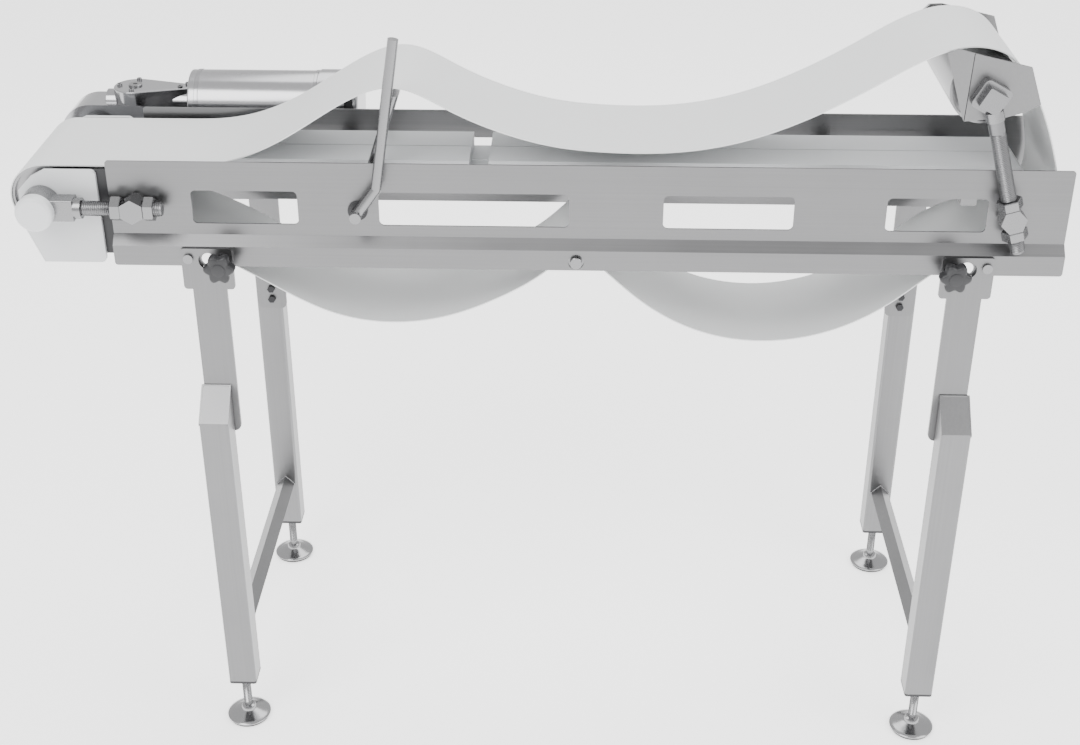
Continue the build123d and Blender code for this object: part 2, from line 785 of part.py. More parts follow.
with BuildPart() as tail_blocks:
    for side in SIDES.values():
        plane, depth = side_slab(side, rod_offset - 14.5, rod_offset + 3, tail_plane)
        with BuildSketch(plane):
            with Locations((tail_arm_length, 0)):
                RectangleRounded(2 * tail_block_half, 2 * tail_block_half, 8, rotation=45)
        extrude(amount=depth)
        plane, depth = side_slab(side, rod_offset + 3, rod_offset + 18, tail_plane)
        with BuildSketch(plane):
            with Locations((tail_arm_length, 0)):
                RectangleRounded(33, 33, 2, rotation=45)
        extrude(amount=depth)
        with BuildSketch(rod_plane(tail_plane, side, tail_rod_end)):
            Circle(rod_radius + 2)
        extrude(amount=16)
        with BuildSketch(rod_plane(tail_plane, side, tail_rod_end)):
            Circle(rod_radius)
        extrude(amount=8, mode=Mode.SUBTRACT)
        plane, depth = side_slab(side, rod_offset - 15, rod_offset + 3, tail_plane)
        with BuildSketch(plane):
            with Locations((tail_arm_length, 0)):
                Circle(shaft_radius)
        extrude(amount=depth, mode=Mode.SUBTRACT)
finish(tail_blocks, "tail_shaft_blocks")

with BuildPart() as tail_axle:
    plane, depth = slab(side_y(-1, rod_offset + 3), side_y(1, rod_offset + 3), tail_plane)
    with BuildSketch(plane):
        with Locations((tail_arm_length, 0)):
            Circle(shaft_radius)
    extrude(amount=depth)
finish(tail_axle, "tail_axle")

tail_plate_inner = rail_outer + 4.0
tail_plate_outer = tail_plate_inner + 4.0


def make_tail_plate(name, side):
    """Folded side plate of the tail end, with a slanted outer edge and a folded-in top corner."""
    u = tail_arm_length
    with BuildPart() as plate:
        plane, depth = side_slab(side, tail_plate_inner, tail_plate_outer, tail_plane)
        with BuildSketch(plane):
            with BuildLine():
                Polyline((u + 71, 10), (u + 26, -69), (u - 36, -73), (u - 42, -44), (u - 42, -14),
                         (u - 31, 44), close=True)
            make_face()
            with Locations((u, 0)):
                Circle(shaft_radius + running_gap, mode=Mode.SUBTRACT)
        extrude(amount=depth)
        fold_a = Vector(u - 31, 44)
        fold_b = Vector(u + 71, 10)
        along = (fold_b - fold_a).normalized()
        across = Vector(-along.Y, along.X)
        tilt = radians(30)
        inner_face = Vector(0, 0, -side_y(side, tail_plate_inner))
        lift = Vector(0, 0, side * sin(tilt))
        tab_x = tail_plane.from_local_coords(fold_b) - tail_plane.from_local_coords(fold_a)
        tab_up = (tail_plane.from_local_coords(fold_a + across * cos(tilt) + lift)
                  - tail_plane.from_local_coords(fold_a))
        tab_normal = tab_x.cross(tab_up)
        tab_plane = Plane(origin=tail_plane.from_local_coords(fold_a + inner_face),
                          x_dir=tab_x, z_dir=tab_normal)
        width = (fold_b - fold_a).length
        with BuildSketch(tab_plane):
            with BuildLine():
                Polyline((0, -1), (width, -1), (width + 2, 26), (width - 8, 40), (14, 6), close=True)
            make_face()
        extrude(amount=-side * 4)
    finish(plate, name)


make_tail_plate("tail_plate_front", -1)
make_tail_plate("tail_plate_rear", 1)
make_pulley("tail_pulley", tail_axis_x, tail_axis_z, bearing_radius)

with BuildPart() as tail_bearings:
    for side in SIDES.values():
        plane, depth = side_slab(side, pulley_length / 2 - 23, pulley_length / 2 - 7, tail_plane)
        with BuildSketch(plane):
            with Locations((tail_arm_length, 0)):
                Circle(bearing_radius)
                Circle(shaft_radius + running_gap, mode=Mode.SUBTRACT)
        extrude(amount=depth)
finish(tail_bearings, "tail_bearings")

# ---------------------------------------------------------------- belt lifter
with BuildPart() as lifter_bushes:
    for side in SIDES.values():
        plane, depth = side_slab(side, rail_inner - 5, rail_outer + 5)
        with BuildSketch(plane):
            with Locations((lifter_x, lifter_z)):
                Circle(lifter_rod_radius + running_gap + bush_wall)
        extrude(amount=depth)
        plane, depth = side_slab(side, rail_outer, rail_outer + 4)
        with BuildSketch(plane):
            with Locations((lifter_x, lifter_z)):
                Circle(lifter_rod_radius + running_gap + bush_wall + 3)
        extrude(amount=depth)
    plane, depth = slab(side_y(-1, rail_outer + 6), side_y(1, rail_outer + 6))
    with BuildSketch(plane):
        with Locations((lifter_x, lifter_z)):
            Circle(lifter_rod_radius + running_gap)
    extrude(amount=depth, mode=Mode.SUBTRACT)
finish(lifter_bushes, "lifter_bushes")

handle_knee = (lifter_x + 34, lifter_z + 46)
handle_top = (lifter_x + 72, lifter_z + 290)
arm_offset = 88.0
with BuildPart() as lifter:
    plane, depth = slab(side_y(-1, handle_offset + 14), side_y(1, rail_outer + 10))
    with BuildSketch(plane):
        with Locations((lifter_x, lifter_z)):
            Circle(lifter_rod_radius)
    extrude(amount=depth)
    plane, depth = slab(side_y(-1, arm_offset + bail_radius), side_y(1, arm_offset + bail_radius))
    with BuildSketch(plane):
        with Locations((bail_x, bail_z)):
            Circle(bail_radius)
    extrude(amount=depth)
    y = side_y(SIDES["front"], handle_offset)
    with BuildLine() as path:
        Polyline((lifter_x, y, lifter_z), (handle_knee[0], y, handle_knee[1]),
                 (handle_top[0], y, handle_top[1]))
    with BuildSketch(Plane(origin=path.line @ 0, z_dir=path.line % 0)):
        Circle(handle_radius)
    sweep(path=path.line, transition=Transition.ROUND)
    for side in SIDES.values():
        y = side_y(side, arm_offset)
        start = Vector(lifter_x, y, lifter_z)
        end = Vector(bail_x, y, bail_z)
        with BuildSketch(Plane(origin=start, z_dir=end - start)):
            Circle(bail_radius - 0.5)
        extrude(amount=(end - start).length)
finish(lifter, "belt_lifter")

# ---------------------------------------------------------------- belt
return_start_z = pulley_axis_z - belt_radius
bar_arc_radius = return_bar_radius + seat_gap
bar_arc_spread = 50.0
upper_points = [
    (-590, belt_top_z), (-540, belt_top_z + 2), (-470, 1098), (-380, 1142), (-300, 1192), (bail_x, bail_z + bail_radius + 4.5),
    (-140, 1184), (-60, 1148), (30, 1123), (120, 1114), (230, 1116), (330, 1135), (430, 1174),
    (530, 1229), (600, 1270), (662, 1290), (726, 1277), (770, 1225), (806, 1150), (828, 1080),
    (834, 1025), (820, 984), (784, 962), (730, 948), (672, 922), (600, 862), (500, 802), (390, 779),
    (280, 794), (180, 847), (120, 900),
]
lower_points = [(10, 896), (-60, 853), (-150, 817), (-244, 805), (-340, 822), (-430, 868), (-520, 920),
                (-600, 953), (-650, return_start_z - 3), (-700, return_start_z)]


def inside(curve, steps=48):
    """Points one belt thickness in from a curve that runs clockwise round the loop."""
    points = []
    for i in range(steps + 1):
        spot = curve @ (i / steps)
        along = curve % (i / steps)
        points.append(Vector(spot.X + belt_thickness * along.Y, spot.Y - belt_thickness * along.X))
    return points


with BuildLine() as outer_line:
    over_bar = CenterArc((return_bar_x, return_bar_z), bar_arc_radius, 90 - bar_arc_spread,
                         2 * bar_arc_spread)
    upper = Spline(*upper_points, over_bar @ 0)
    lower = Spline(over_bar @ 1, *lower_points)
    Line(lower @ 1, (head_axis_x, return_start_z))
    CenterArc((head_axis_x, pulley_axis_z), belt_radius, 90, 180)
    Line((head_axis_x, belt_top_z), upper @ 0)
with BuildLine() as inner_line:
    inner_over = CenterArc((return_bar_x, return_bar_z), bar_arc_radius + belt_thickness,
                           90 - bar_arc_spread, 2 * bar_arc_spread)
    upper_in = Spline(*inside(upper)[:-1], inner_over @ 0)
    lower_in = Spline(inner_over @ 1, *inside(lower)[1:])
    Line(lower_in @ 1, (head_axis_x, return_start_z + belt_thickness))
    CenterArc((head_axis_x, pulley_axis_z), belt_radius - belt_thickness, 90, 180)
    Line((head_axis_x, belt_top_z - belt_thickness), upper_in @ 0)
with BuildPart() as belt:
    plane, depth = slab(belt_centre_y + belt_width / 2, belt_centre_y - belt_width / 2)
    with BuildSketch(plane):
        make_face(outer_line.edges())
        make_face(inner_line.edges(), mode=Mode.SUBTRACT)
    extrude(amount=depth)
finish(belt, "belt")

# ---------------------------------------------------------------- stands
standoff_top_z = flange_top_z - 1
standoff_end_y = plate_inner_y - plate_gap
rear_rail_y = side_y(1, flange_outer)

with BuildPart() as standoffs:
    for end in ENDS.values():
        centre = (stand_x(end) - end * plate_shift, standoff_top_z - standoff_height / 2)
        with BuildSketch(Plane.XZ.offset(-standoff_end_y)):
            with Locations(centre):
                Rectangle(standoff_width, standoff_height)
                Rectangle(standoff_width - 2 * sheet, standoff_height - 2 * sheet, mode=Mode.SUBTRACT)
        extrude(amount=standoff_end_y - rear_rail_y)
        with BuildSketch(Plane.XZ.offset(-standoff_end_y)):
            with Locations(centre):
                RectangleRounded(plate_head_width, standoff_height + 16, 6)
        extrude(amount=6)
        with BuildSketch(Plane.XZ.offset(-standoff_end_y)):
            with Locations((stand_x(end) + end * pin_offset, pin_z)):
                Circle(pin_radius)
            with Locations((stand_x(end) - end * clamp_offset, clamp_z)):
                Circle(clamp_stud_radius)
            with Locations((stand_x(end) - end * sight_hole_offset, clamp_z)):
                Circle(sight_hole_radius - 4)
        extrude(amount=6, mode=Mode.SUBTRACT)
finish(standoffs, "rear_standoffs")

pin_head = 4.0
washer_thickness = 3.0
knob_start_y = plate_outer_y + plate_gap + washer_thickness + plate_gap
stud_length = 22.0
with BuildPart() as pins:
    for end in ENDS.values():
        for side in SIDES.values():
            inboard = plate_inner_y - plate_gap - (3 if side < 0 else 6) - 6
            outboard = plate_outer_y + plate_gap
            with BuildSketch(slab(side * inboard, side * outboard)[0]):
                with Locations((stand_x(end) + end * pin_offset, pin_z)):
                    Circle(pin_radius)
            extrude(amount=outboard - inboard)
            with BuildSketch(slab(side * outboard, side * (outboard + pin_head))[0]):
                with Locations((stand_x(end) + end * pin_offset, pin_z)):
                    Circle(pin_radius + 3)
            extrude(amount=pin_head)
finish(pins, "stand_pivot_pins")

with BuildPart() as studs:
    for end in ENDS.values():
        for side in SIDES.values():
            inboard = plate_inner_y - plate_gap - (3 if side < 0 else 6)
            outboard = knob_start_y + stud_length
            with BuildSketch(slab(side * inboard, side * outboard)[0]):
                with Locations((stand_x(end) - end * clamp_offset, clamp_z)):
                    Circle(clamp_stud_radius)
            extrude(amount=outboard - inboard)
            with BuildSketch(slab(side * inboard, side * (inboard - 7))[0]):
                with Locations((stand_x(end) - end * clamp_offset, clamp_z)):
                    RegularPolygon(8.5, 6, major_radius=False)
            extrude(amount=7)
            near = plate_outer_y + plate_gap
            with BuildSketch(slab(side * near, side * (near + washer_thickness))[0]):
                with Locations((stand_x(end) - end * clamp_offset, clamp_z)):
                    Circle(14)
            extrude(amount=washer_thickness)
finish(studs, "clamp_studs")

knob_hub_length = 14.0
knob_length = 34.0
knob_radius = 25.5
lobes = 6


def make_knob(name, end, side):
    """Star grip with a blind bore for its stud."""
    with BuildPart() as knob:
        spot = (stand_x(end) - end * clamp_offset, clamp_z)
        hub = knob_start_y + knob_hub_length
        outer = knob_start_y + knob_length
        with BuildSketch(slab(side * knob_start_y, side * hub)[0]):
            with Locations(spot):
                Circle(11)
        extrude(amount=knob_hub_length)
        with BuildSketch(slab(side * hub, side * outer)[0]):
            with Locations(spot):
                Circle(knob_radius - 5)
                with PolarLocations(knob_radius - 7, lobes):
                    Circle(7)
        extrude(amount=knob_length - knob_hub_length)
        rim = knob.edges().group_by(Axis.Y)[0 if side < 0 else -1]
        chamfer(rim, length=2)
        with BuildSketch(slab(side * knob_start_y, side * (knob_start_y + stud_length + 1))[0]):
            with Locations(spot):
                Circle(clamp_stud_radius + running_gap)
        extrude(amount=stud_length + 1, mode=Mode.SUBTRACT)
    finish(knob, name)


for end_name, end in ENDS.items():
    for side_name, side in SIDES.items():
        make_knob(f"{end_name}_{side_name}_clamp_knob", end, side)


def make_stand_plates(name, end):
    """The stand's two hanger plates: a wide head on the pin and clamp, a neck down to the tube."""
    with BuildPart() as plates:
        centre = stand_x(end) - end * plate_shift
        shoulder_z = 882.0
        head_top_z = flange_top_z - 1
        for side in SIDES.values():
            plane, depth = slab(side * plate_inner_y, side * plate_outer_y)
            with BuildSketch(plane) as outline:
                with Locations((centre, (head_top_z + shoulder_z) / 2)):
                    RectangleRounded(plate_head_width, head_top_z - shoulder_z, 6)
                with Locations((centre, (shoulder_z + 20 + plate_bottom_z) / 2)):
                    RectangleRounded(plate_neck_width, shoulder_z + 20 - plate_bottom_z, 12)
                pin_x = stand_x(end) + end * pin_offset
                with Locations((pin_x, pin_z)):
                    Circle(pin_radius + running_gap, mode=Mode.SUBTRACT)
                with Locations((stand_x(end) - end * sight_hole_offset, clamp_z)):
                    Circle(sight_hole_radius, mode=Mode.SUBTRACT)
                base = 180 if end > 0 else 0
                arc = Edge.make_circle(
                    clamp_reach, Plane((pin_x, pin_z, 0)), base + 4 * end - tilt_limit - 1,
                    base + 4 * end + tilt_limit + 1)
                SlotArc(arc, 2 * (clamp_stud_radius + bolt_gap), mode=Mode.SUBTRACT)
                with Locations((centre, plate_bolt_z), (centre, plate_bolt_z - 22)):
                    Circle(4 + bolt_gap, mode=Mode.SUBTRACT)
            extrude(amount=depth)
    finish(plates, name)


def make_stand_frame(name, end):
    """Two square tubes with bevelled tops, joined by a square brace set on its corner."""
    with BuildPart() as frame:
        x = stand_x(end)
        for side in SIDES.values():
            with BuildSketch(Plane.XY.offset(tube_bottom_z)):
                with Locations((x, side * stand_half_y)):
                    RectangleRounded(tube, tube, 5)
                    RectangleRounded(tube - 2 * tube_wall, tube - 2 * tube_wall, 2,
                                     mode=Mode.SUBTRACT)
            extrude(amount=tube_top_z - tube_bottom_z)
            with BuildSketch(Plane.YZ.offset(x - tube)):
                with BuildLine():
                    Polyline((side * plate_outer_y, tube_top_z + 1), (side * (plate_outer_y + 1),
                             tube_top_z + 1), (side * (stand_half_y + tube / 2 + 1), tube_top_z - tube),
                             (side * (stand_half_y + tube / 2 + 1), tube_top_z + 1), close=True)
                make_face()
            extrude(amount=2 * tube, mode=Mode.SUBTRACT)
            with BuildSketch(Plane.YZ.offset(x - tube / 2)):
                with BuildLine():
                    Polyline((side * (plate_outer_y + 1), tube_top_z),
                             (side * (stand_half_y + tube / 2), tube_top_z - tube + 1),
                             (side * (stand_half_y + tube / 2), tube_top_z - tube - 3),
                             (side * (plate_outer_y + 1), tube_top_z - 4), close=True)
                make_face()
            extrude(amount=tube)
        with BuildSketch(Plane.XZ.offset(-plate_outer_y - 1)):
            with Locations((x, brace_z)):
                Rectangle(brace_tube, brace_tube, rotation=45)
                Rectangle(brace_tube - 5, brace_tube - 5, rotation=45, mode=Mode.SUBTRACT)
        extrude(amount=2 * plate_outer_y + 2)
        centre = x - end * plate_shift
        for side in SIDES.values():
            with BuildSketch(slab(side * (plate_outer_y - 1), side * (plate_outer_y + tube_wall + 1))[0]):
                with Locations((centre, plate_bolt_z), (centre, plate_bolt_z - 22)):
                    Circle(4)
            extrude(amount=tube_wall + 2, mode=Mode.SUBTRACT)
    finish(frame, name)


def make_plate_bolts(name, end):
    """Bolts that hold the hanger plates to the tubes."""
    with BuildPart() as bolts:
        centre = stand_x(end) - end * plate_shift
        spots = [(centre, plate_bolt_z), (centre, plate_bolt_z - 22)]
        for side in SIDES.values():
            far = plate_outer_y + tube_wall + 5
            with BuildSketch(slab(side * plate_inner_y, side * far)[0]):
                with Locations(*spots):
                    Circle(4)
            extrude(amount=far - plate_inner_y)
            with BuildSketch(slab(side * plate_inner_y, side * (plate_inner_y - 6))[0]):
                with Locations(*spots):
                    RegularPolygon(6.5, 6, major_radius=False)
            extrude(amount=6)
    finish(bolts, name)


insert_depth = 20.0
insert_flange = 5.0
foot_nut_height = 8.0
disc_height = 12.0
pad_height = 5.0


def make_inserts(name, end):
    """Threaded plugs in the tube ends."""
    with BuildPart() as inserts:
        for side in SIDES.values():
            spot = (stand_x(end), side * stand_half_y)
            with BuildSketch(Plane.XY.offset(tube_bottom_z - insert_flange)):
                with Locations(spot):
                    RectangleRounded(tube, tube, 5)
            extrude(amount=insert_flange)
            with BuildSketch(Plane.XY.offset(tube_bottom_z)):
                with Locations(spot):
                    RectangleRounded(tube - 2 * tube_wall, tube - 2 * tube_wall, 2)
            extrude(amount=insert_depth)
            with BuildSketch(Plane.XY.offset(tube_bottom_z - insert_flange)):
                with Locations(spot):
                    Circle(foot_spindle_radius + running_gap)
            extrude(amount=insert_flange + insert_depth, mode=Mode.SUBTRACT)
    finish(inserts, name)


def make_foot_nuts(name, end):
    """Lock nuts under the tube plugs."""
    with BuildPart() as nuts:
        for side in SIDES.values():
            with BuildSketch(Plane.XY.offset(tube_bottom_z - insert_flange - foot_nut_height)):
                with Locations((stand_x(end), side * stand_half_y)):
                    RegularPolygon(13, 6, major_radius=False)
                    Circle(foot_spindle_radius + running_gap, mode=Mode.SUBTRACT)
            extrude(amount=foot_nut_height)
    finish(nuts, name)


def make_foot(label, end, side):
    """Levelling foot: a domed disc with a bonded rubber pad, on a spindle."""
    spot = (stand_x(end), side * stand_half_y)
    with BuildPart() as foot:
        with BuildSketch(Plane.XY.offset(pad_height)):
            with Locations(spot):
                Circle(foot_radius)
        extrude(amount=disc_height)
        chamfer(foot.edges().group_by(Axis.Z)[-1], length=9, length2=22)
        with BuildSketch(Plane.XY.offset(pad_height + disc_height - 1)):
            with Locations(spot):
                Circle(13)
        extrude(amount=9)
        with BuildSketch(Plane.XY.offset(pad_height + disc_height)):
            with Locations(spot):
                Circle(foot_spindle_radius)
        extrude(amount=tube_bottom_z + insert_depth + foot_travel + 6 - pad_height - disc_height)
        with BuildSketch(Plane.XY):
            with Locations(spot):
                Circle(foot_radius - 2)
        extrude(amount=pad_height)
    finish(foot, f"{label}_foot")


for end_name, end in ENDS.items():
    make_stand_plates(f"{end_name}_stand_plates", end)
    make_stand_frame(f"{end_name}_stand_frame", end)
    make_plate_bolts(f"{end_name}_plate_bolts", end)
    make_inserts(f"{end_name}_tube_plugs", end)
    make_foot_nuts(f"{end_name}_foot_nuts", end)
    for side_name, side in SIDES.items():
        make_foot(f"{end_name}_{side_name}", end, side)
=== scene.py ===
"""Looks of the belt conveyor section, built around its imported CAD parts.

The conveyor is in its cleaning position: tail end tipped up, lifter raised, and the slack belt
hanging below the frame. Every piece here is in metres in the row frame: +X towards the tail,
-Y towards the operator, +Z up.
"""

import logging
import math
from dataclasses import dataclass
from enum import Enum

import bmesh
import bpy
from mathutils import Matrix, Vector


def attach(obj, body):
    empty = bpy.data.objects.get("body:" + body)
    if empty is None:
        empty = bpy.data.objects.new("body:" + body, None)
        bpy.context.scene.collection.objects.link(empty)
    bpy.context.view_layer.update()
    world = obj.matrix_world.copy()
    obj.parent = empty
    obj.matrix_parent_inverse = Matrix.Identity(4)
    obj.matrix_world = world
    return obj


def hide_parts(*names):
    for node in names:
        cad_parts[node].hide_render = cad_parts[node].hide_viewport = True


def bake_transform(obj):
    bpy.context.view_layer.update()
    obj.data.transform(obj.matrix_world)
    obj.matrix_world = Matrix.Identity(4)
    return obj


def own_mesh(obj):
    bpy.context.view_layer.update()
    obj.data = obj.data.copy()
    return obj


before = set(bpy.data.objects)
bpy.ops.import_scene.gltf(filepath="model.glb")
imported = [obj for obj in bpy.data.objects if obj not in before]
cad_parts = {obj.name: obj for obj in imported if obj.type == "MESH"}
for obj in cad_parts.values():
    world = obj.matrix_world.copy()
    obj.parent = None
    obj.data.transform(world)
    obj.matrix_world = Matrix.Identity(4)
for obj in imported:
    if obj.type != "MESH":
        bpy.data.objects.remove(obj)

LOG = logging.getLogger("conveyor")
MM = 0.001
BELT_CENTRE_Y = -0.088
Point = tuple[float, float, float]
Value = bpy.types.NodeSocket | float


class Grain(Enum):
    """Direction a surface was brushed or turned in, as stretch of its noise along X, Y and Z."""

    ALONG_X = (2.0, 260.0, 260.0)
    ALONG_Y = (260.0, 2.0, 260.0)
    ALONG_Z = (260.0, 260.0, 2.0)
    EVEN = (60.0, 60.0, 60.0)
    FINE = (400.0, 400.0, 400.0)


class Side(Enum):
    """Side of the conveyor: its sign along Y."""

    FRONT = -1
    REAR = 1


# ---------------------------------------------------------------- shared effects
def surface_group() -> bpy.types.NodeTree:
    """Builds, once, the node group behind every finish: grain, cloudy wear and a bump height.

    Returns:
        The node group.
    """
    name = "Surface"
    if name in bpy.data.node_groups:
        return bpy.data.node_groups[name]
    group = bpy.data.node_groups.new(name, "ShaderNodeTree")
    face = group.interface
    face.new_socket("Color", in_out="INPUT", socket_type="NodeSocketColor")
    face.new_socket("Stretch", in_out="INPUT", socket_type="NodeSocketVector")
    face.new_socket("Tone", in_out="INPUT", socket_type="NodeSocketFloat")
    face.new_socket("Roughness", in_out="INPUT", socket_type="NodeSocketFloat")
    face.new_socket("Spread", in_out="INPUT", socket_type="NodeSocketFloat")
    face.new_socket("Color", in_out="OUTPUT", socket_type="NodeSocketColor")
    face.new_socket("Roughness", in_out="OUTPUT", socket_type="NodeSocketFloat")
    face.new_socket("Height", in_out="OUTPUT", socket_type="NodeSocketFloat")
    nodes, link = group.nodes, group.links.new
    source = nodes.new("NodeGroupInput")
    result = nodes.new("NodeGroupOutput")
    place = nodes.new("ShaderNodeTexCoord")
    stretch = nodes.new("ShaderNodeVectorMath")
    stretch.operation = "MULTIPLY"
    link(place.outputs["Object"], stretch.inputs[0])
    link(source.outputs["Stretch"], stretch.inputs[1])
    grain = nodes.new("ShaderNodeTexNoise")
    grain.inputs["Scale"].default_value = 1.0
    grain.inputs["Detail"].default_value = 5.0
    grain.inputs["Roughness"].default_value = 0.6
    link(stretch.outputs[0], grain.inputs["Vector"])
    cloud = nodes.new("ShaderNodeTexNoise")
    cloud.inputs["Scale"].default_value = 7.0
    cloud.inputs["Detail"].default_value = 4.0
    link(place.outputs["Object"], cloud.inputs["Vector"])

    def combine(operation: str, a: Value, b: Value, c: Value | None = None) -> bpy.types.NodeSocket:
        """Adds a maths node and returns its output; a and b are sockets or numbers."""
        node = nodes.new("ShaderNodeMath")
        node.operation = operation
        for slot, value in enumerate((a, b) if c is None else (a, b, c)):
            if isinstance(value, (int, float)):
                node.inputs[slot].default_value = value
            else:
                link(value, node.inputs[slot])
        return node.outputs[0]

    mixed = combine("MULTIPLY_ADD", cloud.outputs[0], 0.5,
                    combine("MULTIPLY", grain.outputs[0], 0.5))
    centred = combine("SUBTRACT", mixed, 0.5)
    factor = combine("MULTIPLY_ADD", centred, source.outputs["Tone"], 1.0)
    shade = nodes.new("ShaderNodeVectorMath")
    shade.operation = "SCALE"
    link(source.outputs["Color"], shade.inputs[0])
    link(factor, shade.inputs["Scale"])
    link(shade.outputs[0], result.inputs["Color"])
    link(combine("MULTIPLY_ADD", centred, source.outputs["Spread"], source.outputs["Roughness"]),
         result.inputs["Roughness"])
    link(grain.outputs[0], result.inputs["Height"])
    return group


@dataclass(frozen=True)
class Finish:
    """A procedural finish.

    Args:
        name: Material name.
        slot: Slot of the record this finish belongs to; not used.
        color: Linear base colour.
        metallic: 0 for plastics, 1 for metals.
        roughness: Mean roughness.
        grain: Direction of the marks left by making it.
        tone: How strongly the marks lighten and darken the colour.
        spread: How strongly they change the roughness.
        bump: Depth of the marks, in metres.
        coat: Clear layer's weight.
    """

    name: str
    slot: str
    color: Point
    metallic: float
    roughness: float
    grain: Grain = Grain.EVEN
    tone: float = 0.2
    spread: float = 0.15
    bump: float = 0.00002
    coat: float = 0.0

    def material(self) -> bpy.types.Material:
        """Builds the material, or returns it if it was already built."""
        if self.name in bpy.data.materials:
            return bpy.data.materials[self.name]
        material = bpy.data.materials.new(self.name)
        material.use_nodes = True
        nodes, link = material.node_tree.nodes, material.node_tree.links.new
        shader = nodes["Principled BSDF"]
        shader.inputs["Metallic"].default_value = self.metallic
        shader.inputs["Coat Weight"].default_value = self.coat
        surface = nodes.new("ShaderNodeGroup")
        surface.node_tree = surface_group()
        surface.inputs["Color"].default_value = (*self.color, 1.0)
        surface.inputs["Stretch"].default_value = self.grain.value
        surface.inputs["Tone"].default_value = self.tone
        surface.inputs["Roughness"].default_value = self.roughness
        surface.inputs["Spread"].default_value = self.spread
        bump = nodes.new("ShaderNodeBump")
        bump.inputs["Strength"].default_value = 0.5
        bump.inputs["Distance"].default_value = self.bump
        link(surface.outputs["Color"], shader.inputs["Base Color"])
        link(surface.outputs["Roughness"], shader.inputs["Roughness"])
        link(surface.outputs["Height"], bump.inputs["Height"])
        link(bump.outputs["Normal"], shader.inputs["Normal"])
        return material


RAIL = Finish("rail steel", "stainless", (0.2, 0.2, 0.203), 1.0, 0.34, Grain.ALONG_X, 0.45, 0.3)
CROSS = Finish("cross steel", "stainless", (0.22, 0.22, 0.223), 1.0, 0.36, Grain.ALONG_Y, 0.4, 0.25)
TUBE = Finish("tube steel", "stainless_stand", (0.21, 0.21, 0.213), 1.0, 0.33, Grain.ALONG_Z, 0.4, 0.25)
PLATE = Finish("plate steel", "stainless_stand", (0.2, 0.2, 0.203), 1.0, 0.36, Grain.ALONG_Z, 0.35, 0.25)
TURNED = Finish("turned steel", "turned_steel", (0.24, 0.24, 0.245), 1.0, 0.26, Grain.FINE, 0.25, 0.2)
ROD = Finish("thread steel", "turned_steel", (0.2, 0.2, 0.205), 1.0, 0.3, Grain.FINE, 0.3, 0.2)
DRUM = Finish("drum steel", "turned_steel", (0.28, 0.28, 0.285), 1.0, 0.3, Grain.ALONG_Y, 0.3, 0.2)
POLISHED = Finish("polished steel", "polished_steel", (0.36, 0.36, 0.37), 1.0, 0.16, Grain.EVEN, 0.12, 0.08)
POLISHED_TUBE = Finish("polished tube", "polished_steel", (0.38, 0.38, 0.39), 1.0, 0.2,
                       Grain.ALONG_Y, 0.2, 0.1)
GUARD = Finish("guard plastic", "guard_plastic", (0.6, 0.61, 0.62), 0.0, 0.5, Grain.EVEN, 0.06, 0.1)
STRIP = Finish("strip plastic", "strip_plastic", (0.55, 0.56, 0.57), 0.0, 0.55, Grain.ALONG_X, 0.12, 0.1)
CAP = Finish("cap plastic", "cap_plastic", (0.64, 0.65, 0.66), 0.0, 0.28, Grain.EVEN, 0.03, 0.05, coat=0.3)
BLACK = Finish("black plastic", "black_plastic", (0.018, 0.018, 0.02), 0.0, 0.42, Grain.FINE, 0.3, 0.1)
BLACK_STEEL = Finish("black steel", "black_steel", (0.03, 0.03, 0.032), 0.6, 0.4, Grain.FINE, 0.3, 0.1)
RUBBER = Finish("pad rubber", "black_plastic", (0.02, 0.02, 0.02), 0.0, 0.7, Grain.FINE, 0.3, 0.1)
BELTING = Finish("belting", "belt_white", (0.68, 0.69, 0.69), 0.0, 0.45, Grain.FINE, 0.05, 0.08)
BEARING = Finish("bearing steel", "bearing_steel", (0.3, 0.3, 0.305), 1.0, 0.2, Grain.FINE, 0.1, 0.05)
BRONZE = Finish("bronze", "bronze", (0.55, 0.36, 0.14), 1.0, 0.3, Grain.FINE, 0.2, 0.1)
LAMINATIONS = Finish("laminations", "laminations", (0.2, 0.2, 0.21), 1.0, 0.45, Grain.ALONG_Y, 0.3, 0.1)

NODE_FINISHES: dict[Finish, tuple[str, ...]] = {
    RAIL: ("front_side_rail", "rear_side_rail"),
    CROSS: ("bed_cross_members", "rear_standoffs", "tail_plate_front", "tail_plate_rear"),
    TUBE: ("left_stand_frame", "right_stand_frame"),
    PLATE: ("left_stand_plates", "right_stand_plates"),
    TURNED: ("head_swivels", "head_lock_nuts", "head_bearing_blocks", "tail_swivels", "tail_lock_nuts",
             "tail_shaft_blocks", "tail_axle", "head_shaft", "worm_shaft", "belt_lifter", "return_bar",
             "stand_pivot_pins", "left_foot_nuts", "right_foot_nuts", "head_gear"),
    ROD: ("head_rods", "tail_rods"),
    DRUM: ("head_pulley", "tail_pulley"),
    POLISHED: ("gearbox_housing", "gearbox_side_cover", "gearbox_top_cover", "gearbox_screws"),
    POLISHED_TUBE: ("motor_housing", "motor_end_cap"),
    GUARD: ("head_guards",),
    STRIP: ("slider_strips",),
    CAP: ("head_end_cap",),
    BLACK: ("left_tube_plugs", "right_tube_plugs", "head_slide_plates", "lifter_bushes",
            "left_front_clamp_knob", "left_rear_clamp_knob", "right_front_clamp_knob",
            "right_rear_clamp_knob"),
    BLACK_STEEL: ("left_plate_bolts", "right_plate_bolts", "clamp_studs"),
    BELTING: ("belt",),
    BEARING: ("head_bearings", "gearbox_bearings", "tail_bearings", "left_front_foot", "left_rear_foot",
              "right_front_foot", "right_rear_foot"),
    BRONZE: ("gear_layshaft",),
    LAMINATIONS: ("motor_stator", "motor_rotor"),
}


